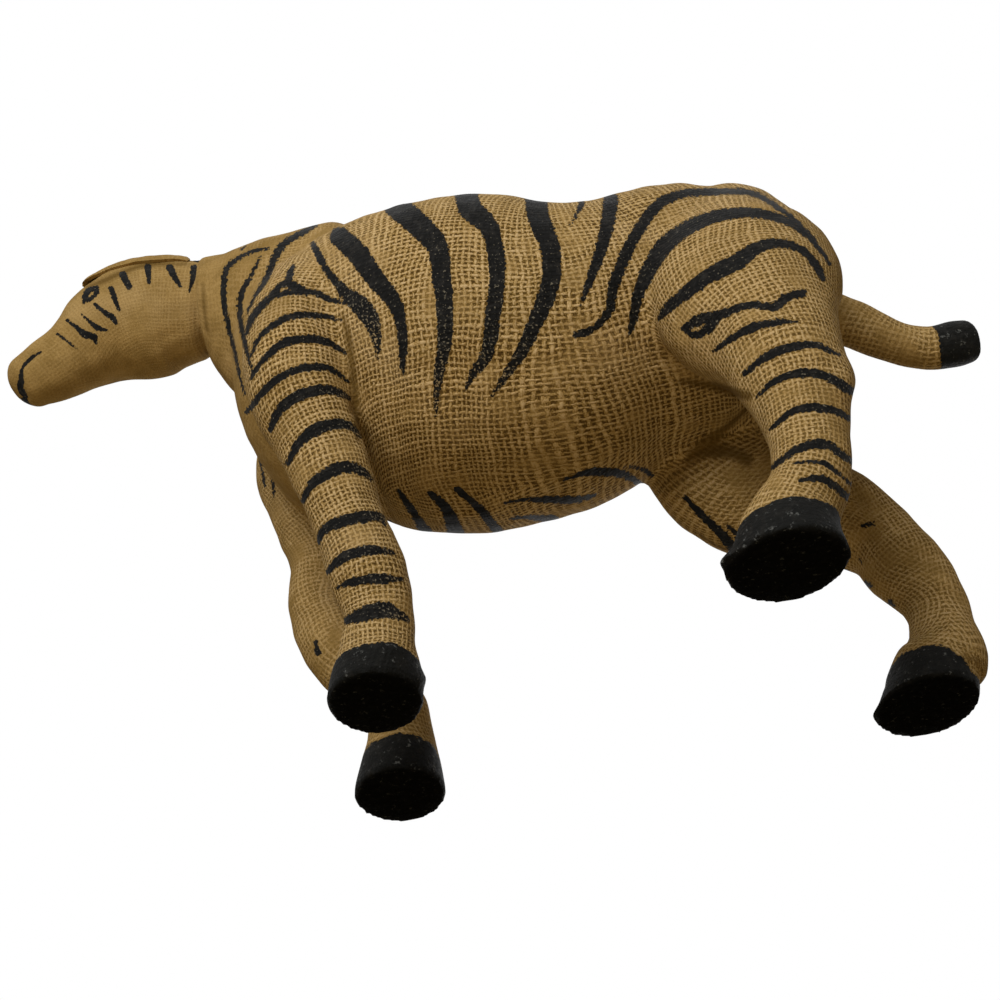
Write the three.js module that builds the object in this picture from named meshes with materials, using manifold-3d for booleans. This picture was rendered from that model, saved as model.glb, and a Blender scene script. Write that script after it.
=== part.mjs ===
// Fabric zebra figurine: a stiff standing animal, paper cores wrapped in jute cloth over bent wire.
// Millimetres, +Z up. The soles stand on z = 0, the head looks along -X, the left flank faces -Y.
import * as THREE from "three";
import { mergeVertices } from "three/addons/utils/BufferGeometryUtils.js";
import Module from "manifold-3d";

const wasm = await Module();
wasm.setup();

// Main sizes: the trunk from its chest section to its rump section, its axis above the floor
// at the shoulders, and its greatest width. The legs, neck, head and tail follow them.
const trunkLength = 176;
const trunkHeight = 168;
const trunkWidth = 134;
const chestX = -92;
const shoulderX = chestX + 22;
const rumpX = chestX + trunkLength;
const halfWidth = trunkWidth / 2;

// Cloth, clearances and wire
const clothThickness = 1.2;
const fitGap = 0.3;
const backWireDiameter = 3.2;
const legWireDiameter = 2.6;
const wireBoreGap = 0.3;
const legWireFootRise = 4;

// Hooves
const soleThickness = 2.4;
const soleEdge = 0.7;
const hoofHeight = 12.5;

// Head, mane, ears and tail
const headSocketDepth = 5;
const napeGap = 1.5;
const maneHeight = 6.5;
const maneThickness = 5;
const maneRoot = 5;
const earThickness = 2.4;
const earPartGap = 1.5;
const tailTipLength = 16;

// Sections are cuts square to the run of a form: centre x, y, z, then half sizes
// across, over and under the centre line. Over is up on the trunk and forward on a leg.
const section = (x, y, z, across, over, under = over) => ({ x, y, z, across, over, under });

const torsoSections = {
  chest: section(chestX, 0, trunkHeight - 2, halfWidth - 23, 60, 60),
  shoulders: section(shoulderX, 0, trunkHeight + 1, halfWidth - 9, 64, 66),
  girth: section(chestX + 44, 0, trunkHeight, halfWidth - 2, 65.5, 68.5),
  barrel: section(chestX + 70, 0, trunkHeight - 4.5, halfWidth, 67, 69),
  belly: section(chestX + 100, 0, trunkHeight - 9, halfWidth - 4.5, 62, 62),
  flank: section(rumpX - 50, 0, trunkHeight - 6, halfWidth - 10, 56, 51),
  hips: section(rumpX - 24, 0, trunkHeight, halfWidth - 16, 58, 54),
  rump: section(rumpX, 0, trunkHeight + 3, halfWidth - 22, 49.5, 48),
};
const chestRise = 32;
const rumpRise = 34;

const neckSections = {
  throat: section(chestX - 45, 0, trunkHeight + 59.5, 20, 24, 27),
  lap: section(chestX - 39.5, 0, trunkHeight + 57, 21.5, 25, 39),
  middle: section(chestX - 30, 0, trunkHeight + 51, 26, 30.5, 50.5),
  base: section(chestX - 12, 0, trunkHeight + 42, 33, 39.8, 58),
  root: section(chestX + 14, 0, trunkHeight + 32, 40, 48.5, 55),
};
const neckRootRise = 22;

// The nape ends inside the mouth of the neck.
const { throat } = neckSections;
const headSections = {
  muzzle: section(throat.x - 77, -4, throat.z - 28.5, 10.5, 12, 13.2),
  nostrils: section(throat.x - 70, -3.5, throat.z - 23.5, 13, 12.6, 16.8),
  nose: section(throat.x - 60, -2.5, throat.z - 15, 15.5, 13, 20),
  brow: section(throat.x - 48.5, -1.5, throat.z - 6.5, 19.5, 22, 24.3),
  cheek: section(throat.x - 34, -0.5, throat.z - 0.5, 21.5, 29, 29.5),
  jowl: section(throat.x - 19, 0, throat.z + 1.5, 20.5, 27.5, 31),
  nape: section(
    throat.x - headSocketDepth,
    throat.y,
    throat.z,
    throat.across - napeGap,
    throat.over - napeGap,
    throat.under - napeGap,
  ),
};
const muzzleRise = 8;
const napeRise = 9;

const legSections = {
  front_left: {
    sole: section(shoulderX - 2.4, 50 - halfWidth, 0, 19.2, 16),
    crown: section(shoulderX - 0.5, 46.5 - halfWidth, 10, 15.4, 15, 14.4),
    pastern: section(shoulderX + 0.5, 44.5 - halfWidth, 19, 12.6, 12.8),
    fetlock: section(shoulderX + 2, 43 - halfWidth, trunkHeight * 0.185, 11.6, 12),
    knee: section(shoulderX - 0.5, 40 - halfWidth, trunkHeight * 0.292, 13, 14, 13.6),
    forearm: section(shoulderX - 6, 37 - halfWidth, trunkHeight * 0.417, 12.6, 13),
    elbow: section(shoulderX - 12, 32 - halfWidth, trunkHeight * 0.583, 14.5, 15),
    upper: section(shoulderX - 19, 28 - halfWidth, trunkHeight * 0.762, 19, 20, 19),
    shoulder: section(shoulderX - 18, 29 - halfWidth, trunkHeight * 0.952, 22, 22, 22),
    withers: section(shoulderX - 14, 34 - halfWidth, trunkHeight * 1.107, 18, 19, 20),
  },
  front_right: {
    sole: section(shoulderX - 7.1, halfWidth - 22.8, 0, 19.8, 16.5),
    crown: section(shoulderX - 6, halfWidth - 25, 10, 16.6, 15),
    pastern: section(shoulderX - 5.5, halfWidth - 26.5, 20, 12.8, 12, 13),
    fetlock: section(shoulderX - 6, halfWidth - 27, trunkHeight * 0.202, 11.8, 11.6),
    knee: section(shoulderX - 22.8, halfWidth - 27, trunkHeight * 0.363, 12.8, 14, 13),
    forearm: section(shoulderX - 32, halfWidth - 27, trunkHeight * 0.5, 13, 13.4),
    elbow: section(shoulderX - 29.5, halfWidth - 27, trunkHeight * 0.643, 15.5, 14.5, 15.6),
    upper: section(shoulderX - 31.5, halfWidth - 27, trunkHeight * 0.798, 19, 20),
    shoulder: section(shoulderX - 29, halfWidth - 29, trunkHeight * 0.964, 22, 28, 22),
    withers: section(shoulderX - 15, halfWidth - 34, trunkHeight * 1.107, 18, 19, 20),
  },
  hind_left: {
    sole: section(rumpX - 18, 15.4 - halfWidth, 0, 19.2, 19.7),
    crown: section(rumpX - 16.5, 15 - halfWidth, 9, 17.4, 17.2),
    pastern: section(rumpX - 11, 15 - halfWidth, 19, 14, 14),
    fetlock: section(rumpX - 4, 15 - halfWidth, trunkHeight * 0.185, 12.4, 12.8),
    cannon: section(rumpX - 0.5, 15.5 - halfWidth, trunkHeight * 0.286, 13, 13.4),
    hock: section(rumpX + 0.5, 16 - halfWidth, trunkHeight * 0.417, 15.6, 17.6),
    gaskin: section(rumpX - 1, 18 - halfWidth, trunkHeight * 0.548, 19, 22),
    stifle: section(rumpX - 6, 23 - halfWidth, trunkHeight * 0.714, 24, 33, 34.5),
    thigh: section(rumpX - 5, 31 - halfWidth, trunkHeight * 0.893, 25, 37, 36),
    haunch: section(rumpX - 3, 40 - halfWidth, trunkHeight * 1.048, 21, 30, 27),
  },
  hind_right: {
    sole: section(rumpX + 29.2, halfWidth - 20.4, 0, 20.8, 18.6),
    crown: section(rumpX + 33, halfWidth - 22, 8, 18, 17),
    pastern: section(rumpX + 40, halfWidth - 24, 17, 14.6, 15),
    fetlock: section(rumpX + 42, halfWidth - 24.5, trunkHeight * 0.167, 11.8, 12),
    cannon: section(rumpX + 42.3, halfWidth - 24.5, trunkHeight * 0.238, 11.6, 12),
    hock: section(rumpX + 36.5, halfWidth - 24, trunkHeight * 0.345, 14, 15, 15.6),
    gaskin: section(rumpX + 22.5, halfWidth - 23, trunkHeight * 0.488, 18, 13.5, 19),
    stifle: section(rumpX - 6, halfWidth - 24, trunkHeight * 0.667, 25, 37, 26),
    thigh: section(rumpX - 8, halfWidth - 30, trunkHeight * 0.869, 26, 46, 34),
    haunch: section(rumpX - 2, halfWidth - 40, trunkHeight * 1.06, 21, 32),
  },
};
const shoulderRise = 14;
const haunchRise = 18;

const tailSections = {
  dock: section(rumpX + 24, 2, trunkHeight - 8, 11, 11.5),
  root: section(rumpX + 38, 4, trunkHeight - 16.5, 9.6, 9.6),
  middle: section(rumpX + 52, 8, trunkHeight - 26.4, 8.2, 8.4),
  swell: section(rumpX + 65, 12, trunkHeight - 30.4, 8, 8.4),
  tuft: section(rumpX + 76, 14, trunkHeight - 29.2, 8.6, 9.2),
  end: section(rumpX + 82, 15, trunkHeight - 28, 8, 8.4),
};
const tailEndRise = 2.5;

// The ears are leaves of cloth laid back flat on the head, from the brow to the poll. This is
// the left one's outline seen from its side, from the front tip along the lower edge to the
// point at the back and home along the upper edge. The right ear is its mirror image.
const { cheek } = headSections;
const earOutline = [
  [cheek.x - 19, cheek.z + 15],
  [cheek.x - 11, cheek.z + 12],
  [cheek.x, cheek.z + 16.5],
  [cheek.x + 10, cheek.z + 18],
  [cheek.x + 20, cheek.z + 17.5],
  [cheek.x + 31, cheek.z + 14.5],
  [cheek.x + 20, cheek.z + 25.5],
  [cheek.x + 8, cheek.z + 31],
  [cheek.x - 4, cheek.z + 29],
  [cheek.x - 13, cheek.z + 23],
];

// How finely each form is cut into rings and sides
const fine = {
  torso: { rings: 14, sides: 20 },
  neck: { rings: 6, sides: 18 },
  head: { rings: 10, sides: 16 },
  leg: { rings: 13, sides: 12 },
  tail: { rings: 7, sides: 10 },
  mane: { rings: 10, sides: 6 },
  wire: { sides: 6 },
  dome: 3,
};

const UP = new THREE.Vector3(0, 0, 1);
const SIDE = new THREE.Vector3(0, 1, 0);
const REARWARD = new THREE.Vector3(1, 0, 0);

// The run of a form through its section centres, with a ring frame at any place along it.
// Rings stand square to the run. Those of the first sections can keep a heading instead: a
// leg's are level there, so that the sole is flat, and all of the neck's are upright.
class Run {
  constructor(sections, heading = null, steadySections = 0) {
    const list = Object.values(sections);
    this.spans = list.length - 1;
    this.heading = heading;
    this.steadySections = steadySections;
    const places = list.map((s) => new THREE.Vector3(s.x, s.y, s.z));
    const halfSizes = list.map((s) => new THREE.Vector3(s.across, s.over, s.under));
    this.centres = new THREE.CatmullRomCurve3(places, false, "centripetal");
    this.sizes = new THREE.CatmullRomCurve3(halfSizes, false, "catmullrom");
  }

  ringAt(t) {
    const centre = this.centres.getPoint(t);
    const size = this.sizes.getPoint(t);
    const forward = this.centres.getTangent(t);
    if (this.heading) {
      const past = t * this.spans - this.steadySections;
      forward.lerp(this.heading, THREE.MathUtils.clamp(1 - past, 0, 1)).normalize();
    }
    const side = SIDE.clone().addScaledVector(forward, -forward.y).normalize();
    const up = forward.clone().cross(side);
    return { centre, forward, side, up, across: size.x, over: size.y, under: size.z };
  }
}

function pointOnRing(ring, angle, scale = 1, inset = 0) {
  const s = Math.sin(angle);
  const rise = (s > 0 ? ring.over : ring.under) - inset;
  return ring.centre
    .clone()
    .addScaledVector(ring.side, (ring.across - inset) * scale * Math.cos(angle))
    .addScaledVector(ring.up, rise * scale * s);
}

// A closed skin through the rings of a run. Each end is a dome of the given rise, or flat where
// the rise is 0. An inset moves the whole skin inwards, and a negative one moves it outwards.
// A reach draws a flat start out past the first section, to open a shell there.
function loft(run, detail, { inset = 0, startRise = 0, endRise = 0, startReach = 0 } = {}) {
  const rows = [];
  const pushRow = (ring, scale, shift) => {
    const row = [];
    for (let j = 0; j < detail.sides; j++) {
      const angle = (j / detail.sides) * Math.PI * 2;
      row.push(pointOnRing(ring, angle, scale, inset).addScaledVector(ring.forward, shift));
    }
    rows.push(row);
  };
  const first = run.ringAt(0);
  const last = run.ringAt(1);
  const startRun = startRise > 0 ? startRise - inset : startReach > 0 ? startReach : -inset;
  const endRun = endRise > 0 ? endRise - inset : -inset;
  if (startRise > 0) {
    for (let k = fine.dome; k > 0; k--) {
      const lean = (k / (fine.dome + 1)) * (Math.PI / 2);
      pushRow(first, Math.cos(lean), -startRun * Math.sin(lean));
    }
  }
  if (startReach > 0) pushRow(first, 1, -startReach);
  for (let i = 0; i <= detail.rings; i++) {
    const flatStart = i === 0 && startRise === 0 && startReach === 0;
    const flatEnd = i === detail.rings && endRise === 0;
    pushRow(run.ringAt(i / detail.rings), 1, flatStart ? -startRun : flatEnd ? endRun : 0);
  }
  if (endRise > 0) {
    for (let k = 1; k <= fine.dome; k++) {
      const lean = (k / (fine.dome + 1)) * (Math.PI / 2);
      pushRow(last, Math.cos(lean), endRun * Math.sin(lean));
    }
  }
  const startPole = first.centre.clone().addScaledVector(first.forward, -startRun);
  const endPole = last.centre.clone().addScaledVector(last.forward, endRun);
  return skin(rows, startPole, endPole);
}

function skin(rows, startPole, endPole) {
  const sides = rows[0].length;
  const points = rows.flat();
  const startIndex = points.push(startPole) - 1;
  const endIndex = points.push(endPole) - 1;
  const lastRow = (rows.length - 1) * sides;
  const index = [];
  for (let j = 0; j < sides; j++) {
    const next = (j + 1) % sides;
    index.push(startIndex, next, j);
    index.push(endIndex, lastRow + j, lastRow + next);
    for (let i = 0; i < rows.length - 1; i++) {
      const a = i * sides + j;
      const b = i * sides + next;
      index.push(a, b, b + sides);
      index.push(a, b + sides, a + sides);
    }
  }
  const geometry = new THREE.BufferGeometry().setFromPoints(points);
  geometry.setIndex(index);
  return geometry;
}

const weldDistance = 1e-4;
function solid(geometry) {
  const bare = geometry.clone();
  bare.deleteAttribute("normal");
  bare.deleteAttribute("uv");
  const merged = mergeVertices(bare, weldDistance);
  return new wasm.Manifold(
    new wasm.Mesh({
      numProp: 3,
      vertProperties: new Float32Array(merged.attributes.position.array),
      triVerts: new Uint32Array(merged.index.array),
    }),
  );
}

function geometryOf(body) {
  const mesh = body.getMesh();
  const geometry = new THREE.BufferGeometry();
  geometry.setAttribute("position", new THREE.BufferAttribute(new Float32Array(mesh.vertProperties), 3));
  geometry.setIndex(Array.from(mesh.triVerts));
  return geometry;
}

function cutBy(body, ...tools) {
  return tools.reduce((left, tool) => left.subtract(tool), body);
}

// A round bar along a path, for the wires and for the bores that they lie in. A bore runs past
// the wire by the same gap at both ends.
function bar(stops, radius, steps, gap = 0) {
  const path = new THREE.CatmullRomCurve3(stops.map((stop) => stop.clone()));
  const startOut = path.getTangent(0).multiplyScalar(-gap);
  const endOut = path.getTangent(1).multiplyScalar(gap);
  path.points[0].add(startOut);
  path.points.at(-1).add(endOut);
  const reach = radius + gap;
  const outline = [];
  for (let j = 0; j < fine.wire.sides; j++) {
    const angle = (j / fine.wire.sides) * Math.PI * 2;
    outline.push(new THREE.Vector2(Math.cos(angle) * reach, Math.sin(angle) * reach));
  }
  const geometry = new THREE.ExtrudeGeometry(new THREE.Shape(outline), {
    extrudePath: path,
    steps,
    bevelEnabled: false,
  });
  return solid(geometry);
}

// Everything between two heights, as a block wider than the animal.
const blockSpan = 700;
function between(low, high) {
  const slab = new THREE.BoxGeometry(blockSpan, blockSpan, high - low);
  return solid(slab.translate(0, 0, (low + high) / 2));
}

// Everything behind or before a place along the animal.
function behind(x) {
  const block = new THREE.BoxGeometry(blockSpan, blockSpan, blockSpan);
  return solid(block.translate(x + blockSpan / 2, 0, 0));
}

// Cloth skin, the space inside it, the core that fills it and the skin with its clearance,
// all from one run, so that they always nest.
const coreInset = clothThickness + fitGap;
function wrapped(run, detail, ends) {
  const at = (inset) => solid(loft(run, detail, { ...ends, inset }));
  return { outside: at(0), clear: at(-fitGap), inside: at(clothThickness), core: at(coreInset) };
}

function finish(color, roughness, metalness = 0) {
  return new THREE.MeshStandardMaterial({ color, roughness, metalness });
}
const materials = {
  juteCloth: finish(0xa98a58, 0.95),
  headCloth: finish(0xab8d5c, 0.92),
  blackPaint: finish(0x17151a, 0.8),
  paperCore: finish(0xb9b2a2, 0.9),
  wire: finish(0x8c8f92, 0.45, 0.9),
};

const group = new THREE.Group();
const animal = new THREE.Group();
function add(name, body, material) {
  const mesh = new THREE.Mesh(geometryOf(body), material);
  mesh.name = name;
  animal.add(mesh);
}

// Trunk, neck, head and tail forms
const torsoRun = new Run(torsoSections);
const torso = wrapped(torsoRun, fine.torso, { startRise: chestRise, endRise: rumpRise });
const neckRun = new Run(neckSections, REARWARD, Infinity);
const neckFront = throat.x;
const neckTube = wrapped(neckRun, fine.neck, { startReach: headSocketDepth, endRise: neckRootRise });
const neck = {
  outside: neckTube.outside.intersect(behind(neckFront)),
  clear: neckTube.clear.intersect(behind(neckFront - fitGap)),
  inside: neckTube.inside,
  core: neckTube.core.intersect(behind(neckFront + coreInset)),
};
const headRun = new Run(headSections);
const head = wrapped(headRun, fine.head, { startRise: muzzleRise, endRise: napeRise });
const tailRun = new Run(tailSections);
const tail = wrapped(tailRun, fine.tail, { endRise: tailEndRise });

// One bent wire through the head, neck, trunk and tail
function backPath() {
  const { nostrils, cheek, nape } = headSections;
  const { middle, base } = neckSections;
  const { girth, belly, hips, rump } = torsoSections;
  const stops = [nostrils, cheek, nape, middle, base, girth, belly, hips, rump];
  const tailStops = Object.values(tailSections).slice(0, -1);
  return [...stops, ...tailStops].map((s) => new THREE.Vector3(s.x, s.y, s.z));
}
const backWireSteps = 32;
const backWire = bar(backPath(), backWireDiameter / 2, backWireSteps);
const backBore = bar(backPath(), backWireDiameter / 2, backWireSteps, wireBoreGap);

// Legs: each has a cloth cover, a paper core, a wire, a black hoof band and a black sole
const soleTop = soleThickness + fitGap;
const hoofZone = between(soleTop, hoofHeight);
const aboveHoof = between(hoofHeight + fitGap, blockSpan / 2);
const aboveSole = between(soleTop, blockSpan / 2);
const soleSides = 18;
const legWireSteps = 9;

// A leg's wire starts just above the sole and leans in at the top, to this share of the leg's
// own distance from the middle plane.
const legWireLean = 0.55;
function legPath(sections) {
  const list = Object.values(sections);
  const stops = list.slice(1, -1).map((s) => new THREE.Vector3(s.x, s.y, s.z));
  stops[0].z = soleThickness + legWireFootRise;
  const top = list.at(-1);
  stops.push(new THREE.Vector3(top.x, top.y * legWireLean, top.z));
  return stops;
}

// A flat sole with rounded edges, turned as a round disc and drawn out to the hoof's oval.
function soleDisc(place) {
  const e = soleEdge;
  const profile = [
    new THREE.Vector2(0, 0),
    new THREE.Vector2(1 - e / place.across, 0),
    new THREE.Vector2(1, e),
    new THREE.Vector2(1, soleThickness - e),
    new THREE.Vector2(1 - e / place.across, soleThickness),
    new THREE.Vector2(0, soleThickness),
  ];
  const geometry = new THREE.LatheGeometry(profile, soleSides);
  geometry.rotateX(Math.PI / 2);
  geometry.scale(place.over, place.across, 1);
  geometry.translate(place.x, place.y, 0);
  return solid(geometry);
}

const legs = Object.entries(legSections).map(([name, sections]) => {
  const endRise = name.startsWith("front") ? shoulderRise : haunchRise;
  const form = wrapped(new Run(sections, UP, 1), fine.leg, { endRise });
  const path = legPath(sections);
  return {
    name,
    sections,
    form,
    wire: bar(path, legWireDiameter / 2, legWireSteps),
    bore: bar(path, legWireDiameter / 2, legWireSteps, wireBoreGap),
  };
});

for (const leg of legs) {
  const { outside, inside, core } = leg.form;
  const cover = cutBy(outside.intersect(aboveHoof), inside, torso.clear, neck.clear);
  add(`${leg.name}_leg_cover`, cover, materials.juteCloth);
  const filling = cutBy(core.intersect(aboveSole), torso.inside, neck.clear, leg.bore);
  add(`${leg.name}_leg_core`, filling, materials.paperCore);
  add(`${leg.name}_leg_wire`, leg.wire, materials.wire);
  add(`${leg.name}_hoof`, outside.intersect(hoofZone).subtract(inside), materials.blackPaint);
  add(`${leg.name}_sole`, soleDisc(leg.sections.sole), materials.blackPaint);
}

// Trunk: the cloth opens where the neck, legs and tail join, so that the cores meet
const legInsides = legs.map((leg) => leg.form.inside);
const legBores = legs.map((leg) => leg.bore);
const torsoCover = cutBy(torso.outside, torso.inside, neck.inside, tail.inside, ...legInsides);
add("torso_cover", torsoCover, materials.juteCloth);
add("torso_core", cutBy(torso.core, backBore, ...legBores), materials.paperCore);
add("back_wire", backWire, materials.wire);

// Neck: its cloth laps the back of the head, and its core is hollowed for the nape
add("neck_cover", cutBy(neck.outside, neck.inside, torso.clear), materials.juteCloth);
add("neck_core", cutBy(neck.core, torso.inside, head.inside, backBore), materials.paperCore);

// Head
add("head_cover", cutBy(head.outside, head.inside, neck.clear), materials.headCloth);
add("head_core", cutBy(head.core, backBore), materials.paperCore);

// Mane: a folded strip of cloth on end along the crest. It starts at this share of the head's
// run and ends at this share of the neck's.
const maneHead = 0.5;
const maneNeck = 0.8;
const maneStops = 3;
function crestSections(run, from, to) {
  const stops = [];
  for (let k = 0; k < maneStops; k++) {
    const ring = run.ringAt(THREE.MathUtils.lerp(from, to, k / (maneStops - 1)));
    const crest = pointOnRing(ring, Math.PI / 2);
    stops.push(section(crest.x, crest.y, crest.z, maneThickness / 2, maneHeight, maneRoot));
  }
  return stops;
}
const jowlPlace = 1 - 1 / headRun.spans;
const lapPlace = 1 / neckRun.spans;
const maneRun = new Run([
  ...crestSections(headRun, maneHead, jowlPlace),
  ...crestSections(neckRun, lapPlace, maneNeck),
]);
const maneEndRise = maneThickness / 2;
const maneStrip = solid(loft(maneRun, fine.mane, { startRise: maneEndRise, endRise: maneEndRise }));
add("mane_strip", cutBy(maneStrip, head.clear, neck.clear, torso.clear), materials.juteCloth);

// Ears: each is a leaf cut out of a skin round the head. They part beside the mane.
const earReach = cheek.across + earThickness;
const earStart = maneThickness / 2 + earPartGap;
const earSkin = solid(
  loft(headRun, fine.head, { startRise: muzzleRise, endRise: napeRise, inset: -earThickness }),
);
function earLeaf(hand) {
  const outline = new THREE.Shape(earOutline.map(([x, z]) => new THREE.Vector2(x, z)));
  const leaf = new THREE.ExtrudeGeometry(outline, { depth: earReach, bevelEnabled: false });
  leaf.rotateX(Math.PI / 2);
  leaf.translate(0, hand < 0 ? -earStart : earStart + earReach, 0);
  return cutBy(earSkin.intersect(solid(leaf)), head.clear, neck.clear);
}
add("left_ear", earLeaf(-1), materials.headCloth);
add("right_ear", earLeaf(1), materials.headCloth);

// Tail: cut flat where the black end begins
const tailEndX = tailSections.end.x + tailEndRise;
const tipStart = behind(tailEndX - tailTipLength);
const tipRest = behind(tailEndX - tailTipLength - fitGap);
const hindLegs = legs.filter((leg) => leg.name.startsWith("hind"));
const hindClear = hindLegs.map((leg) => leg.form.clear);
const tailCover = cutBy(tail.outside, tail.inside, tipRest, torso.clear, ...hindClear);
add("tail_cover", tailCover, materials.juteCloth);
add("tail_tip", tail.outside.intersect(tipStart).subtract(tail.inside), materials.blackPaint);
add("tail_core", cutBy(tail.core, torso.inside, backBore), materials.paperCore);

// The origin is the middle of the standing animal's box, at floor height
const box = new THREE.Box3().setFromObject(animal);
animal.position.set(-(box.min.x + box.max.x) / 2, -(box.min.y + box.max.y) / 2, -box.min.z);
group.add(animal);

export default group;
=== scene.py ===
import math

import bpy
import numpy as np
from mathutils import Matrix, Vector
from mathutils.bvhtree import BVHTree


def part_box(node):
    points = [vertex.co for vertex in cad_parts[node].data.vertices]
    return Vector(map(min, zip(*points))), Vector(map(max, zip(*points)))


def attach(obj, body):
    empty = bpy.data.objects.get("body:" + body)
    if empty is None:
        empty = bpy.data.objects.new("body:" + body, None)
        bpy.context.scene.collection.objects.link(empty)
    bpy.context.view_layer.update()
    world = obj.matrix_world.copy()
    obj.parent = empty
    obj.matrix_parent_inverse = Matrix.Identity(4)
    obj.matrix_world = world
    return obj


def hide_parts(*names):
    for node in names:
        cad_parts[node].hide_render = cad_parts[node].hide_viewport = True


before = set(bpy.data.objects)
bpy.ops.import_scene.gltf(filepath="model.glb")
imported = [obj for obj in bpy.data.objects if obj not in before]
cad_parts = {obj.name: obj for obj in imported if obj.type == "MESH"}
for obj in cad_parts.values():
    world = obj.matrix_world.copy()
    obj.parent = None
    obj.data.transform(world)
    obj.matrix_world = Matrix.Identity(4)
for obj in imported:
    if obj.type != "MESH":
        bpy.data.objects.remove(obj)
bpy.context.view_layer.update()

bl_info = {
    "name": "Fabric zebra figurine",
    "version": (1, 1, 0),
    "blender": (4, 5, 0),
    "location": "View3D > Sidebar > Zebra",
    "description": "Jute cloth skins, painted stripes, ears, mane and stage for a zebra figurine",
    "category": "Object",
}

BODY = "root"
MM = 0.001

# Forms, in millimetres: centre x, y, z, then half sizes across, over and under the centre line.
# The head looks along -X and the left flank faces -Y. These are the construction's own sections.


def section(x, y, z, across, over, under=None):
    return (x, y, z, across, over, over if under is None else under)


TORSO = {
    "chest": section(-92, 0, 166, 44, 60, 60),
    "shoulders": section(-70, 0, 169, 58, 64, 66),
    "girth": section(-48, 0, 168, 65, 65.5, 68.5),
    "barrel": section(-22, 0, 163.5, 67, 67, 69),
    "belly": section(8, 0, 159, 62.5, 62, 62),
    "flank": section(34, 0, 162, 57, 56, 51),
    "hips": section(60, 0, 168, 51, 58, 54),
    "rump": section(84, 0, 171, 45, 49.5, 48),
}
NECK = {
    "throat": section(-137, 0, 227.5, 20, 24, 27),
    "lap": section(-131.5, 0, 225, 21.5, 25, 39),
    "middle": section(-122, 0, 219, 26, 30.5, 50.5),
    "base": section(-104, 0, 210, 33, 39.8, 58),
    "root": section(-78, 0, 200, 40, 48.5, 55),
}
HEAD = {
    "muzzle": section(-214, -4, 199, 10.5, 12, 13.2),
    "nostrils": section(-207, -3.5, 204, 13, 12.6, 16.8),
    "nose": section(-197, -2.5, 212.5, 15.5, 13, 20),
    "brow": section(-185.5, -1.5, 221, 19.5, 22, 24.3),
    "cheek": section(-171, -0.5, 227, 21.5, 29, 29.5),
    "jowl": section(-156, 0, 229, 20.5, 27.5, 31),
    "nape": section(-142, 0, 227.5, 18.5, 22.5, 25.5),
}
TAIL = {
    "dock": section(108, 2, 160, 11, 11.5),
    "root": section(122, 4, 151.5, 9.6, 9.6),
    "middle": section(136, 8, 141.6, 8.2, 8.4),
    "swell": section(149, 12, 137.6, 8, 8.4),
    "tuft": section(160, 14, 138.8, 8.6, 9.2),
    "end": section(166, 15, 140, 8, 8.4),
}
LEGS = {
    "front_left": {
        "sole": section(-72.4, -17, 0, 19.2, 16),
        "crown": section(-70.5, -20.5, 10, 15.4, 15, 14.4),
        "pastern": section(-69.5, -22.5, 19, 12.6, 12.8),
        "fetlock": section(-68, -24, 31, 11.6, 12),
        "knee": section(-70.5, -27, 49, 13, 14, 13.6),
        "forearm": section(-76, -30, 70, 12.6, 13),
        "elbow": section(-82, -35, 98, 14.5, 15),
        "upper": section(-89, -39, 128, 19, 20, 19),
        "shoulder": section(-88, -38, 160, 22, 22, 22),
        "withers": section(-84, -33, 186, 18, 19, 20),
    },
    "front_right": {
        "sole": section(-77.1, 44.2, 0, 19.8, 16.5),
        "crown": section(-76, 42, 10, 16.6, 15),
        "pastern": section(-75.5, 40.5, 20, 12.8, 12, 13),
        "fetlock": section(-76, 40, 34, 11.8, 11.6),
        "knee": section(-92.8, 40, 61, 12.8, 14, 13),
        "forearm": section(-102, 40, 84, 13, 13.4),
        "elbow": section(-99.5, 40, 108, 15.5, 14.5, 15.6),
        "upper": section(-101.5, 40, 134, 19, 20),
        "shoulder": section(-99, 38, 162, 22, 28, 22),
        "withers": section(-85, 33, 186, 18, 19, 20),
    },
    "hind_left": {
        "sole": section(66, -51.6, 0, 19.2, 19.7),
        "crown": section(67.5, -52, 9, 17.4, 17.2),
        "pastern": section(73, -52, 19, 14, 14),
        "fetlock": section(80, -52, 31, 12.4, 12.8),
        "cannon": section(83.5, -51.5, 48, 13, 13.4),
        "hock": section(84.5, -51, 70, 15.6, 17.6),
        "gaskin": section(83, -49, 92, 19, 22),
        "stifle": section(78, -44, 120, 24, 33, 34.5),
        "thigh": section(79, -36, 150, 25, 37, 36),
        "haunch": section(81, -27, 176, 21, 30, 27),
    },
    "hind_right": {
        "sole": section(113.2, 46.6, 0, 20.8, 18.6),
        "crown": section(117, 45, 8, 18, 17),
        "pastern": section(124, 43, 17, 14.6, 15),
        "fetlock": section(126, 42.5, 28, 11.8, 12),
        "cannon": section(126.3, 42.5, 40, 11.6, 12),
        "hock": section(120.5, 43, 58, 14, 15, 15.6),
        "gaskin": section(106.5, 44, 82, 18, 13.5, 19),
        "stifle": section(78, 43, 112, 25, 37, 26),
        "thigh": section(76, 37, 146, 26, 46, 34),
        "haunch": section(82, 27, 178, 21, 32),
    },
}
CHEST_RISE = 32
RUMP_RISE = 34
NECK_ROOT_RISE = 22
MUZZLE_RISE = 8
NAPE_RISE = 9
SHOULDER_RISE = 14
HAUNCH_RISE = 18
TAIL_END_RISE = 2.5
TAIL_TIP_LENGTH = 16
TIP_START = TAIL["end"][0] + TAIL_END_RISE - TAIL_TIP_LENGTH
SOLE_TOP = 2.55
HOOF_TOP = 12.65

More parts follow.
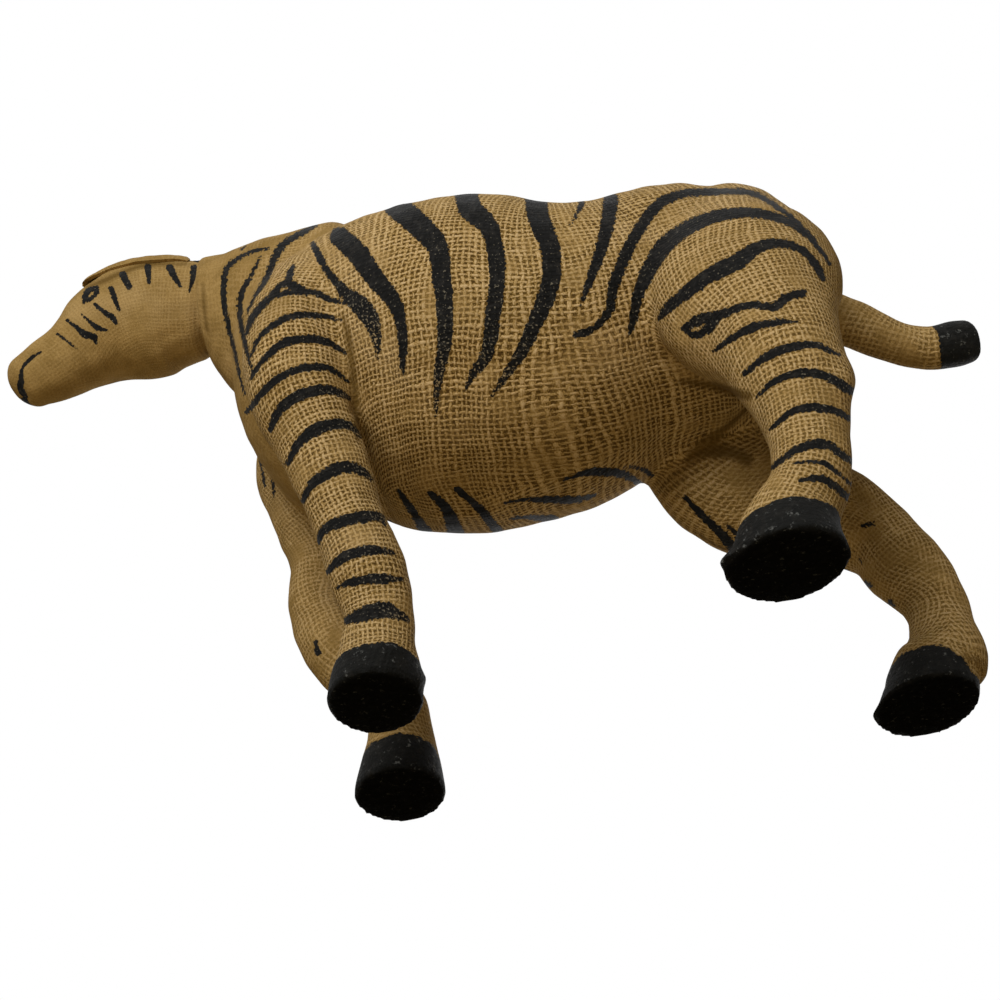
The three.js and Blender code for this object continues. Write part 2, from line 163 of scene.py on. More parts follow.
# An ear's leaf, laid on the head: the share of the head's run, the angles in degrees of its lower
# and upper edges round the head, where 90 is the crest, and how far it stands off, in millimetres.
EAR_LEAF = (
    (0.548, 118, 110, 4.0),
    (0.565, 130, 106, 3.0),
    (0.600, 140, 102, 2.2),
    (0.667, 147, 99, 1.9),
    (0.750, 149, 99, 1.8),
    (0.833, 148, 101, 1.8),
    (0.900, 146, 112, 1.7),
    (0.965, 142, 132, 1.5),
)
EAR_STEPS = (72, 28)
# Its unevenness is that of a sheet this many millimetres to each side of its middle
EAR_SPREAD = 20
# Its rim is one part in 14 of its length and one in 5 of its width, and turns down this far
EAR_RIM_ALONG = 14
EAR_RIM_ACROSS = 5
EAR_RIM_TURN = 0.7

# The mane's folded strip starts at this share of the head's run and ends at this share of the neck's.
MANE_HEAD = 0.5
MANE_NECK = 0.8
MANE_WIDTH = 5
MANE_HEIGHT = 6.5
MANE_ROOT = 5
MANE_STOPS = 3
MANE_GRID = (220, 28)
MANE_DOME = 4
# Its threads' ends: how high they stand, how far apart they are and how far they sink at the top
THREAD_RISE = 0.16
THREAD_PITCH = 1.9
THREAD_SINK = 0.3
# And how much of their height they lose there
THREAD_LOSS = 0.5
# The bars over it: how far apart, how much of it stays bare and how dry the brush was
MANE_BAR_PITCH = 17
MANE_BARE = 0.1
MANE_DRYNESS = 0.35
# Millimetres of cloth for each radian round the strip
MANE_ROUND = 4

UP = np.array([0.0, 0.0, 1.0])
ACROSS = np.array([0.0, 1.0, 0.0])
REARWARD = np.array([1.0, 0.0, 0.0])

# Brush strokes and creases, read from the photograph: points in its 1000 x 1000 frame,
# then widths in the same pixels, spread evenly from the first point to the last.
FULL_FLANK_STROKES = {
    "withers": (
        [(340, 237), (358, 254), (376, 280), (394, 302), (401, 323), (403, 346), (403, 374)],
        [20, 22, 19, 15, 12, 9, 4],
    ),
    "loin_fleck": ([(582, 203), (571, 225)], [6, 2]),
    "hip": ([(611, 200), (607, 227), (599, 256), (587, 288), (581, 305)], [15, 14, 12, 7, 2]),
}
FLANK_STROKES = {
    "shoulder": (
        [
            (313, 244), (319, 256), (327, 270), (337, 283), (347, 294), (359, 304), (370, 318),
            (376, 336), (378, 358),
        ],
        [6, 7, 7, 8, 12, 19, 18, 10, 3],
    ),
    "girth": (
        [
            (396, 206), (422, 228), (437, 246), (442, 282), (445, 307), (444, 346), (438, 379),
            (435, 420),
        ],
        [24, 24, 21, 19, 17, 14, 10, 2],
    ),
    "back": (
        [
            (466, 192), (470, 208), (488, 226), (496, 254), (497, 282), (493, 313), (486, 356),
            (473, 374), (465, 392),
        ],
        [24, 23, 19, 17, 16, 16, 13, 9, 2],
    ),
    "loin": (
        [
            (535, 193), (539, 218), (549, 244), (552, 269), (547, 295), (534, 325), (521, 353),
            (504, 379), (491, 396),
        ],
        [22, 22, 20, 19, 18, 15, 12, 8, 2],
    ),
}
HAUNCH_STROKES = {
    "croup": (
        [
            (830, 264), (808, 233), (780, 209), (751, 193), (711, 192), (682, 194), (659, 204),
            (642, 225), (625, 256), (613, 288), (609, 311), (599, 324), (588, 331), (576, 335),
        ],
        [3, 4, 5, 6, 7, 9, 11, 12, 12, 11, 9, 6, 8, 7],
    ),
    "rump": (
        [
            (825, 256), (808, 236), (788, 222), (757, 213), (722, 215), (693, 225), (665, 245),
            (650, 268), (639, 293), (633, 319), (629, 337),
        ],
        [4, 6, 8, 10, 12, 14, 17, 16, 12, 8, 3],
    ),
    "thigh": (
        [
            (823, 278), (814, 262), (800, 249), (777, 243), (757, 248), (737, 262), (714, 273),
            (688, 291), (665, 311), (659, 319),
        ],
        [7, 8, 8, 9, 13, 17, 16, 14, 9, 4],
    ),
    "loop_top": (
        [(803, 293), (785, 298), (777, 306), (748, 305), (722, 314), (699, 320), (684, 328)],
        [8, 9, 9, 7, 9, 12, 7],
    ),
    "loop_foot": ([(684, 328), (694, 335), (708, 329), (716, 320)], [5, 7, 10, 9]),
    "stifle_1": ([(714, 351), (734, 337), (757, 326), (780, 322), (797, 322)], [4, 7, 9, 6, 2]),
    "stifle_2": ([(745, 374), (762, 359), (788, 348), (814, 345), (840, 355)], [5, 8, 10, 7, 3]),
    "stifle_3": ([(757, 397), (774, 382), (797, 374), (823, 375), (851, 391)], [3, 7, 9, 9, 9]),
    "hock_1": ([(770, 430), (788, 414), (808, 408), (831, 410), (853, 420)], [3, 7, 9, 8, 5]),
    "hock_2": ([(770, 469), (794, 451), (823, 444), (853, 462)], [4, 8, 10, 6]),
    "hock_3": ([(794, 463), (823, 463), (853, 486)], [2, 5, 3]),
    "hock_4": ([(800, 480), (823, 479), (849, 498)], [4, 8, 7]),
}
FORK_STROKES = {
    "fork_stem": ([(293, 267), (289, 277), (287, 283)], [5, 7, 9]),
    "fork_front": ([(288, 280), (279, 286), (268, 297), (256, 311)], [6, 4, 3, 3]),
    "fork_rear": ([(287, 282), (300, 289), (315, 293), (330, 299), (348, 305)], [9, 8, 6, 6, 2]),
    "fork_low": (
        [(247, 331), (252, 318), (260, 307), (269, 299), (281, 294), (297, 292), (309, 293)],
        [4, 7, 6, 6, 6, 6, 5],
    ),
    "band_1": (
        [(250, 356), (261, 336), (282, 320), (302, 315), (322, 316), (341, 320)],
        [3, 5, 7, 7, 6, 3],
    ),
    "band_2": (
        [(250, 379), (264, 359), (284, 343), (307, 339), (328, 342), (346, 354)],
        [3, 6, 9, 9, 7, 4],
    ),
    "band_3": (
        [(247, 412), (266, 389), (287, 373), (310, 367), (330, 369), (350, 383)],
        [5, 7, 8, 8, 6, 3],
    ),
}
FORELEG_STROKES = {
    "band_4": (
        [(270, 430), (279, 410), (297, 397), (320, 390), (338, 392), (350, 399)],
        [5, 9, 12, 11, 8, 4],
    ),
    "band_5": (
        [(288, 464), (299, 443), (317, 429), (335, 424), (350, 426), (360, 437)],
        [5, 9, 13, 11, 7, 4],
    ),
    "band_6": (
        [(303, 501), (312, 484), (330, 472), (348, 467), (363, 472), (372, 480)],
        [5, 9, 13, 12, 8, 3],
    ),
    "band_7": (
        [(318, 543), (325, 529), (343, 521), (363, 517), (379, 517), (385, 524)],
        [5, 9, 12, 12, 9, 4],
    ),
    "band_8": ([(328, 572), (340, 559), (358, 552), (376, 550), (394, 553)], [5, 10, 11, 9, 4]),
    "band_9": ([(338, 587), (356, 581), (382, 579), (402, 579)], [3, 9, 11, 4]),
    "band_10": ([(341, 623), (362, 615), (385, 610), (408, 620)], [4, 15, 17, 5]),
}
NECK_STROKES = {
    "nape": (
        [
            (269, 248), (246, 254), (227, 268), (224, 283), (224, 302), (227, 320), (234, 348),
            (241, 381), (245, 396),
        ],
        [2, 4, 6, 6, 6, 5, 4, 3, 2],
    ),
    "throat": (
        [(261, 256), (252, 274), (241, 296), (240, 314), (243, 335), (247, 352), (252, 371)],
        [2, 4, 6, 6, 5, 4, 2],
    ),
    "crest": (
        [(316, 225), (296, 236), (281, 247), (272, 264), (266, 279), (255, 296), (247, 313)],
        [4, 7, 8, 7, 6, 4, 2],
    ),
    "shoulder": ([(290, 276), (272, 296), (256, 313), (249, 325), (246, 334)], [4, 6, 7, 5, 3]),
    "poll": ([(241, 250), (246, 246)], [2, 2]),
}
HEAD_STROKES = {
    "nose_1": ([(57, 334), (67, 341), (77, 349)], [2, 3, 2]),
    "nose_2": ([(67, 320), (76, 327), (84, 334), (94, 337), (96, 343)], [3, 4, 8, 7, 3]),
    "nose_3": ([(81, 314), (91, 323), (98, 328), (106, 330)], [2, 4, 6, 3]),
    "cheek_1": ([(95, 304), (104, 312), (112, 317), (116, 323)], [3, 5, 7, 4]),
    "cheek_2": ([(111, 289), (115, 299), (119, 310)], [6, 5, 3]),
    "cheek_3": ([(123, 275), (129, 287)], [8, 6]),
    "poll_1": ([(148, 267), (149, 283)], [7, 4]),
    "poll_2": ([(170, 268), (175, 278), (181, 287)], [8, 6, 3]),
    "poll_3": ([(194, 268), (192, 281), (189, 292)], [7, 5, 2]),
    "eye": ([(84, 303), (85, 296), (89, 290), (97, 288)], [3, 6, 6, 5]),
    "eye_under": ([(88, 300), (93, 297), (97, 292)], [4, 5, 5]),
    "mouth": ([(41, 352), (31, 358), (22, 369), (21, 379), (21, 390), (28, 399)], [2, 4, 3, 6, 7, 3]),
    "jaw": ([(91, 384), (106, 380), (122, 377)], [2, 4, 2]),
    "jowl": ([(181, 364), (186, 367)], [4, 5]),
}
FAR_STROKES = {
    "belly_1": ([(398.5, 491), (409, 506), (417, 518.5), (426, 532)], [5, 7, 8, 12]),
    "belly_2": ([(429, 492), (441.5, 503), (449, 514), (456, 533)], [5, 9, 12, 17]),
    "belly_3": ([(457, 489), (475.5, 504.5), (488, 518.5), (500, 534)], [6, 8, 9, 10]),
    "lens_1": ([(503, 503), (528, 499.5), (552, 499.5), (577, 499.5), (596, 495)], [2, 4, 8, 7, 3]),
    "lens_2": ([(509, 518.5), (528, 517), (543, 518.5), (556, 518)], [2, 4, 7, 5]),
    "groin_1": (
        [(561.5, 480), (577, 475.5), (589, 472), (604.5, 472), (625, 475), (646, 488)],
        [2, 4, 8, 9, 8, 5],
    ),
    "groin_2": ([(626, 466), (646, 471), (659, 486), (673, 515)], [2, 5, 5, 5]),
    "groin_3": ([(675, 497), (688, 517)], [4, 5]),
    "groin_4": ([(685, 495), (701, 513), (724, 535)], [4, 9, 9]),
    "groin_5": ([(726, 521), (738, 536)], [3, 6]),
    "chest": ([(389, 521), (398, 538)], [3, 6]),
}
FAR_LEG_STROKES = {
    "knee_dab": ([(315, 641), (318, 653)], [4, 6]),
    "chest_edge_1": ([(259, 452), (265, 486)], [3, 2]),
    "chest_edge_2": ([(273, 481), (274, 500)], [3, 2]),
    "hind_dab": ([(863, 526), (873, 523)], [4, 5]),
    "hind_edge_1": ([(866, 583), (871, 587)], [5, 3]),
    "hind_edge_2": ([(890, 602), (894, 606)], [5, 3]),
    "thigh_1": ([(685, 497), (701, 514), (720, 533), (735, 550)], [4, 8, 9, 10]),
    "thigh_2": ([(727, 524), (737, 536), (750, 556)], [4, 5, 5]),
}
# Painted shade along the folds that lie in the dark: at the elbow, under the ear's edge, at the nape and
# in the groin
FOLD_SHADE_STROKES = {
    "elbow": ([(343, 316), (349, 340), (353, 375), (356, 410), (357, 440)], [4, 7, 8, 7, 3]),
    "ear": ([(87, 287), (103, 281), (126, 271), (147, 265), (186, 264)], [3, 6, 5, 4, 2]),
    "nape": ([(203, 284), (204, 305), (207, 330)], [2, 3, 3]),
    "groin": ([(680, 381), (712, 386), (748, 396)], [4, 9, 9]),
}
CREASES = {
    "head_seam": ("head", [(202, 284), (204, 305), (206, 328)], 0.5, 4),
    "mouth": ("head", [(41, 352), (31, 358), (22, 369), (21, 379), (21, 390), (28, 399)], 0.8, 5),
    "elbow_fold": ("front_left", [(350, 315), (352, 360), (354, 412)], 0.8, 5),
    "groin_fold": ("torso", [(685, 384), (712, 388), (745, 396)], 0.9, 7),
    "belly_seam": ("torso", [(389, 513), (430, 514), (469, 509), (508, 507)], 0.5, 4),
}

# Each group of strokes, with how dry the brush ran at their ends
FULL_FLANK = (FULL_FLANK_STROKES, 0.5)
FLANK = (FLANK_STROKES, 0.85)
QUARTERS = (HAUNCH_STROKES, 0.45)
FORK = (FORK_STROKES, 0.45)
FORELEG = (FORELEG_STROKES, 0.8)
NECK_SIDE = (NECK_STROKES, 0.4)
FACE = (HEAD_STROKES, 0.3)
FAR_DRYNESS = 0.3

# Which groups each form takes
BRUSHED = {
    "torso": (FULL_FLANK, FLANK, QUARTERS, NECK_SIDE, FORK),
    "neck": (NECK_SIDE, FULL_FLANK),
    "head": (FACE,),
    "front_left": (FORK, FORELEG, NECK_SIDE, FULL_FLANK),
    "front_right": (FORK, FORELEG, NECK_SIDE, FULL_FLANK),
    "hind_left": (QUARTERS,),
    "hind_right": (QUARTERS,),
}
FAR_BRUSHED = {"torso": FAR_STROKES, "front_right": FAR_LEG_STROKES, "hind_right": FAR_LEG_STROKES}

# The far strokes end this far past the trunk's middle, towards the near side
FAR_LAP = 22
# Shares of a leg's run: under the first, a right leg takes its twin's stripes, and over the
# second it takes what the left side has across from it
TWIN_BELOW = 0.5
MIRROR_ABOVE = 0.72
# A leg's stripes end where its skin faces inwards by more than this, over this much more
INNER_FROM = {"left": 0.35, "right": -0.05}
INNER_FADE = 0.25

# Paint is kept as the signed distance into it, in millimetres, and this stands for none
NO_PAINT = -8.0
COAT_EDGE = 0.8
# The width in millimetres over which a fold's painted shade comes in
FOLD_SHADE_EDGE = 1.5
# Pixels from point to point of a stroke's line, the fewest points that it has, and how many
# pixels off it its depth is worked out
STROKE_STEP = 3
LEAST_POINTS = 4
STROKE_MARGIN = 24
# How many points are worked on at a time
STROKE_CHUNK = 4000
PLACE_CHUNK = 20000

# The height of each hoof's black paint
HOOF_LINES = {"front_left": 11.0, "front_right": 8.5, "hind_left": 13.5, "hind_right": 3.4}
# Round daubs of paint on the two far hooves
HOOF_DABS = {
    "front_right": ([(399, 780), (401, 778)], [90, 90]),
    "hind_right": ([(927, 694), (931, 692)], [93, 93]),
}

# Lumps of three hooves' rims and of the back of one hind leg: which leg, the pixel, the lump's
# reach, how far it stands out and the height that it stays under
LUMPS = (
    ("front_left", (423, 679), 3.2, 1.5, 10),
    ("hind_left", (725, 560), 3.6, 3.0, 10),
    ("hind_right", (879, 715), 2.6, 1.6, 10),
    ("hind_left", (852, 379), 8.0, 2.6, 200),
)

# How closed the cloth is, at least and at most
FELTING = {
    "torso": (0.10, 0.95),
    "neck": (0.66, 0.92),
    "head": (0.82, 0.93),
    "tail": (0.35, 0.55),
    "front_left": (0.06, 0.22),
    "front_right": (0.45, 0.60),
    "hind_left": (0.15, 0.35),
    "hind_right": (0.32, 0.42),
    "ear": 0.85,
    "mane": 0.20,
}
# The trunk's cloth closes from this height up, over this much, to this share of the way
BACK_FROM = 195
BACK_OVER = 35
BACK_SHARE = 0.7
# It closes towards the chest as well, from here and over this much, and the neck's does likewise
CHEST_FROM = -70
CHEST_OVER = 40
NECK_FROM = -95
NECK_OVER = 35

# What the hand leaves uneven: how far it strays, how wide its waves are in millimetres and the
# seed of its random draws
RIPPLES = {
    "skin_swell": (0.5, 34, 1),
    "skin_lumps": (0.25, 12, 2),
    "sole": (1, 5, 3),
    "wander_x": (1.6, 60, 11),
    "wander_y": (1.6, 60, 12),
    "wander_z": (1.6, 60, 13),
    "hoof_line": (0.8, 14, 21),
    "tip_line": (0.6, 9, 22),
    "dab_edge": (0.5, 9, 23),
    "ear": (0.2, 9, 31),
    "mane_threads": (2, 20, 41),
    "mane_sway": (0.5, 26, 42),
    "mane_top": (0.45, 9, 43),
    "mane_bars": (1, 30, 44),
}
# It is made of this many waves, each of a width within this spread of shares of the row's
RIPPLE_WAVES = 7
RIPPLE_SPREAD = (0.7, 1.4)
RIPPLE_EASE = 1.5

# The joined skin: rings and sides of the trunk and of the other forms before they are joined
TRUNK_GRID = (120, 96)
LIMB_GRID = (90, 56)
# Places at which a form's run keeps its frame, and the least rise that its ends are measured by
RUN_SAMPLES = 120
LEAST_RISE = 0.5
# How far off a join of two forms the skin is blended
BLEND_REACH = 7.0
# One round of smoothing takes a point this share of the way to the middle of its neighbours
SMOOTHING = 0.5
LAST_SMOOTHING = 0.4
SKIN_ROUNDS = 5
JOIN_ROUNDS = 45
BORDER_ROUNDS = 8
CORE_ROUNDS = 3
# What smoothing takes off a form is given back, up to this much
RETURN_ROUNDS = 2
RETURN_REACH = 2.5
RETURN_SHARE = 0.8
# The soles: under this height and facing down this much, the skin is flat but for this unevenness
FLAT_BELOW = 1.2
SOLE_FACING = -0.5
FLAT_FACING = -0.6
FLAT_LUMPS = 0.12
# The skin's lumps start at this height and are full over this much
FOOT_TOP = 2
FOOT_BLEND = 10.0
# The skin stays this far off a paper core, past the cloth's own wall, where the core is within
# reach and faces the same way
CORE_AIR = 0.05
CORE_REACH = 5.0
CORE_FACING = 0.75
# Faces that meet at a wider angle than this keep their edge, in degrees
SMOOTH_ANGLE = 50

# The legs' cloth is this much finer than the trunk's
LEG_WEAVE = 1.16

# The neck's cloth laps the head, this far off it at its front edge and over this length
LAP_RISE = 0.8
LAP_RUN = 12

# Faces turned this far towards an end of their form take their map from the frame
END_ON = 0.8

FLOOR_SIDE = 12
FLOOR_GAP = 0.0003
FLOOR_COLOR = (0.86, 0.86, 0.86)
FLOOR_BOUNCE = (0.37, 0.31, 0.20)
FLOOR_FADE = (0.35, 1.3)
WORLD_LIGHT = 0.20
WORLD_TINT = (1.0, 0.94, 0.82)
LOW_TINT = (1.0, 0.80, 0.50)
WHITE = (1.0, 1.0, 1.0)
LAMP_TARGET = (0, 0, 0.13)
# Place, width, power and colour of each lamp
LAMPS = {
    "key": ((-0.25, -1.22, 0.50), 0.8, 14.9, WHITE),
    "top": ((0.10, 0.25, 1.30), 1.0, 3.0, WHITE),
    "right": ((0.35, 1.20, 0.50), 1.0, 7.0, WHITE),
    "low": ((-0.15, -0.75, -0.85), 0.9, 2.2, LOW_TINT),
}

# The photograph's camera, in the frame of the forms
VIEW_AZIMUTH = math.radians(4.5)
VIEW_ELEVATION = math.radians(-40)
VIEW_ROLL = math.radians(-7.6)
VIEW_DISTANCE = 600
VIEW_TARGET = np.array([-24.0, 2.1, 92.8])
IMAGE_SIDE = 1000
FOCAL_PIXELS = 1600
SENSOR_WIDTH = 36
CLIP_START = 0.01
PIXELS_PER_MM = FOCAL_PIXELS / VIEW_DISTANCE

# Keeps a division off nought
TINY = 1e-6


def camera_axes():
    """The camera's place, right, up and forward, in the frame of the forms."""
    a, e, r = VIEW_AZIMUTH, VIEW_ELEVATION, VIEW_ROLL
    back = np.array([math.sin(a) * math.cos(e), -math.cos(a) * math.cos(e), math.sin(e)])
    right = np.cross(-back, UP)
    right /= np.linalg.norm(right)
    up = np.cross(right, -back)
    turned_right = math.cos(r) * right + math.sin(r) * up
    turned_up = -math.sin(r) * right + math.cos(r) * up
    return VIEW_TARGET + back * VIEW_DISTANCE, turned_right, turned_up, -back


def project(points):
    """Where points in millimetres fall in the photograph, in pixels."""
    place, right, up, forward = camera_axes()
    away = points - place
    depth = away @ forward
    middle = IMAGE_SIDE / 2
    return np.stack([
        middle + FOCAL_PIXELS * (away @ right) / depth,
        middle - FOCAL_PIXELS * (away @ up) / depth,
    ], axis=1)


def unit(vectors):
    return vectors / np.maximum(np.linalg.norm(vectors, axis=-1, keepdims=True), 1e-9)


def spline(points, t, even=False):
    """The Catmull-Rom curve through points at shares t, with centripetal or even spacing."""
    table = np.asarray(points, float)
    table = np.vstack([2 * table[0] - table[1], table, 2 * table[-1] - table[-2]])
    spans = len(table) - 3
    place = np.clip(t, 0, 1) * spans
    first = np.minimum(place.astype(int), spans - 1)
    w = (place - first)[:, None]
    p0, p1, p2, p3 = (table[first + k] for k in range(4))
    if even:
        m1, m2 = (p2 - p0) / 2, (p3 - p1) / 2
    else:
        d0, d1, d2 = (
            np.maximum(np.linalg.norm(b - a, axis=1, keepdims=True), TINY) ** 0.5
            for a, b in ((p0, p1), (p1, p2), (p2, p3))
        )
        m1 = ((p1 - p0) / d0 - (p2 - p0) / (d0 + d1) + (p2 - p1) / d1) * d1
        m2 = ((p2 - p1) / d1 - (p3 - p1) / (d1 + d2) + (p3 - p2) / d2) * d1
    return p1 + m1 * w + (3 * (p2 - p1) - 2 * m1 - m2) * w**2 + (2 * (p1 - p2) + m1 + m2) * w**3


class Run:
    """Ring frames along a form, from its first section to its last."""

    def __init__(self, sections, start_rise, end_rise, heading=None, steady=0.0):
        """With a dome of the given rise at each end. The rings face the heading, if there is one,
        over the steady number of sections, and turn to the run's own way over the next."""
        table = np.array(list(sections.values()), float)
        self.t = np.linspace(0, 1, RUN_SAMPLES)
        self.centre = spline(table[:, :3], self.t)
        self.size = spline(table[:, 3:], self.t, even=True)
        forward = unit(np.gradient(self.centre, axis=0))
        if heading is not None:
            past = self.t * (len(table) - 1) - steady
            lean = np.clip(1 - past, 0, 1)[:, None]
            forward = unit(forward * (1 - lean) + heading * lean)
        self.forward = forward
        self.side = unit(ACROSS - forward * forward[:, 1:2])
        self.up = np.cross(forward, self.side)
        steps = np.linalg.norm(np.diff(self.centre, axis=0), axis=1)
        self.arc = np.concatenate([[0], np.cumsum(steps)])
        self.rises = (start_rise, end_rise)

    def at(self, t, values):
        """One of the run's tables at shares t."""
        return np.stack([np.interp(t, self.t, values[:, k]) for k in range(values.shape[1])], axis=1)

    def surface(self, t, angle):
        """Points on the form's skin."""
        size = self.at(t, self.size)
        rise = np.where(np.sin(angle) > 0, size[:, 1], size[:, 2])
        return (
            self.at(t, self.centre)
            + self.at(t, self.side) * (size[:, 0] * np.cos(angle))[:, None]
            + self.at(t, self.up) * (rise * np.sin(angle))[:, None]
        )

    def locate(self, points):
        """Each point's share of the run, its angle round it, how far past an end it lies and
        its distance to the skin."""
        count = len(points)
        t, past = np.empty(count), np.empty(count)
        reach = (self.centre * self.forward).sum(axis=1)
        last = len(self.t) - 1
        for start in range(0, count, PLACE_CHUNK):
            part = slice(start, start + PLACE_CHUNK)
            ahead = points[part] @ self.forward.T - reach
            before = np.clip((ahead > 0).sum(axis=1), 1, last)
            rows = np.arange(len(before))
            near, far = ahead[rows, before - 1], ahead[rows, before]
            step = np.where(np.abs(near - far) < TINY, TINY, near - far)
            t[part] = (before - 1 + np.clip(near / step, 0, 1)) / last
            past[part] = np.where(ahead[:, 0] < 0, ahead[:, 0], np.maximum(ahead[:, last], 0))
        t = np.where(past < 0, 0, np.where(past > 0, 1, t))
        away = points - self.at(t, self.centre)
        a = (away * self.at(t, self.side)).sum(axis=1)
        b = (away * self.at(t, self.up)).sum(axis=1)
        size = self.at(t, self.size)
        rise = np.where(b > 0, size[:, 1], size[:, 2])
        first_rise, last_rise = (max(rise, LEAST_RISE) for rise in self.rises)
        end = np.where(past < 0, first_rise, last_rise)
        ratio = np.sqrt((a / size[:, 0]) ** 2 + (b / rise) ** 2 + (past / end) ** 2)
        radius = np.sqrt(a**2 + b**2 + past**2)
        distance = radius * (1 - 1 / np.maximum(ratio, 1e-3))
        return t, np.arctan2(b / rise, a / size[:, 0]), past, distance

    def skin(self, rings, sides, dome=8):
        """Vertices and faces of the closed skin, with a dome or a flat at each end."""
        rows = []
        turn = np.arange(sides) / sides * 2 * math.pi

        def ring(t, scale, shift):
            share = np.full(sides, t)
            middle = self.at(share[:1], self.centre)
            ahead = self.at(share[:1], self.forward)
            rows.append(middle + (self.surface(share, turn) - middle) * scale + ahead * shift)

        leans = [k / (dome + 1) * math.pi / 2 for k in range(1, dome + 1)]
        if self.rises[0]:
            for lean in reversed(leans):
                ring(0, math.cos(lean), -self.rises[0] * math.sin(lean))
        for i in range(rings + 1):
            ring(i / rings, 1, 0)
        if self.rises[1]:
            for lean in leans:
                ring(1, math.cos(lean), self.rises[1] * math.sin(lean))
        start = self.centre[0] - self.forward[0] * self.rises[0]
        finish = self.centre[-1] + self.forward[-1] * self.rises[1]
        points = np.vstack(rows + [start[None], finish[None]])
        faces = []
        for i in range(len(rows) - 1):
            for j in range(sides):
                k = (j + 1) % sides
                faces.append((i * sides + j, i * sides + k, (i + 1) * sides + k, (i + 1) * sides + j))
        low, high = len(points) - 2, len(points) - 1
        top = (len(rows) - 1) * sides
        for j in range(sides):
            k = (j + 1) % sides
            faces.append((low, k, j))
            faces.append((high, top + j, top + k))
        return points, faces


def all_runs():
    runs = {
        "torso": Run(TORSO, CHEST_RISE, RUMP_RISE),
        "neck": Run(NECK, 0, NECK_ROOT_RISE, REARWARD, math.inf),
        "head": Run(HEAD, MUZZLE_RISE, NAPE_RISE),
        "tail": Run(TAIL, 0, TAIL_END_RISE),
    }
    for name, sections in LEGS.items():
        rise = SHOULDER_RISE if name.startswith("front") else HAUNCH_RISE
        runs[name] = Run(sections, 0, rise, UP, 1.0)
    return runs


RUNS = all_runs()
FORM_NAMES = list(RUNS)
MIDDLE_FORMS = ("torso", "neck", "head")
TWIN = {"front_right": "front_left", "hind_right": "hind_left"}


def frame_shift():
    """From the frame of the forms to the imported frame, in millimetres: the front left sole
    lies at its own section in both."""
    low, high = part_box("front_left_sole")
    middle = (low + high) / 2 / MM
    sole = LEGS["front_left"]["sole"]
    return np.array([middle.x - sole[0], middle.y - sole[1], 0.0])


SHIFT = frame_shift()


def ripple(points, name):
    """A smooth random field over points, mostly within the reach that its row gives."""
    reach, wavelength, seed = RIPPLES[name]
    random = np.random.default_rng(seed)
    total = np.zeros(len(points))
    for _ in range(RIPPLE_WAVES):
        direction = unit(random.normal(size=3))
        rate = 2 * math.pi / (wavelength * random.uniform(*RIPPLE_SPREAD))
        total += np.cos(points @ direction * rate + random.uniform(0, 2 * math.pi))
    return reach * (total / math.sqrt(RIPPLE_WAVES) / RIPPLE_EASE)


# The joined form: one skin over all the forms, cut up later into the pieces


class Form:
    """The whole animal's outer skin in millimetres: its points, its faces and whose they are."""

    def __init__(self, points, quads):
        self.points = points
        self.quads = quads
        self.normals = point_normals(points, quads)
        distances = form_distances(points)
        self.labels = distances.argmin(axis=1)
        self.face_labels = distances[quads].mean(axis=1).argmin(axis=1)


def form_distances(points):
    """How far each point lies from each form's skin, negative inside it."""
    return np.stack([RUNS[name].locate(points)[3] for name in FORM_NAMES], axis=1)


def new_mesh_object(name, points, faces):
    """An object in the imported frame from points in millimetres."""
    mesh = bpy.data.meshes.new(name)
    mesh.from_pydata((points * MM).tolist(), [], faces)
    mesh.update()
    piece = bpy.data.objects.new(name, mesh)
    bpy.context.scene.collection.objects.link(piece)
    return piece


def select_only(piece):
    bpy.ops.object.select_all(action="DESELECT")
    piece.select_set(True)
    bpy.context.view_layer.objects.active = piece


def apply_modifier(piece, name, kind, **settings):
    select_only(piece)
    modifier = piece.modifiers.new(name, kind)
    for key, value in settings.items():
        setattr(modifier, key, value)
    bpy.ops.object.modifier_apply(modifier=modifier.name)


def join_forms(voxel):
    """All the forms as one closed skin of even quads, by a voxel remesh."""
    parts, faces, count = [], [], 0
    for name, run in RUNS.items():
        points, own = run.skin(*(TRUNK_GRID if name == "torso" else LIMB_GRID))
        faces += [tuple(v + count for v in face) for face in own]
        parts.append(points)
        count += len(points)
    blank = new_mesh_object("form", np.vstack(parts), faces)
    apply_modifier(blank, "one skin", "REMESH", mode="VOXEL", voxel_size=voxel)
    return blank


def read_points(mesh):
    flat = np.empty(len(mesh.vertices) * 3, np.float32)
    mesh.vertices.foreach_get("co", flat)
    return flat.reshape(-1, 3).astype(float) / MM


def read_corners(mesh):
    corners = np.empty(len(mesh.loops), np.int32)
    mesh.loops.foreach_get("vertex_index", corners)
    return corners


def point_normals(points, quads):
    across = points[quads[:, 2]] - points[quads[:, 0]]
    along = points[quads[:, 3]] - points[quads[:, 1]]
    faces = np.cross(across, along)
    total = np.zeros_like(points)
    for k in range(4):
        for axis in range(3):
            total[:, axis] += np.bincount(quads[:, k], faces[:, axis], len(points))
    return unit(total)


def edge_pairs(quads):
    """The edges, each with the two faces beside it."""
    sides = np.concatenate([quads[:, [k, (k + 1) % 4]] for k in range(4)])
    faces = np.tile(np.arange(len(quads)), 4)
    edges, owner = np.unique(np.sort(sides, axis=1), axis=0, return_inverse=True)
    owner = owner.ravel()
    order = np.argsort(owner, kind="stable")
    first = np.searchsorted(owner[order], np.arange(len(edges)))
    last = np.append(first[1:], len(owner)) - 1
    return edges, np.stack([faces[order[first]], faces[order[last]]], axis=1)


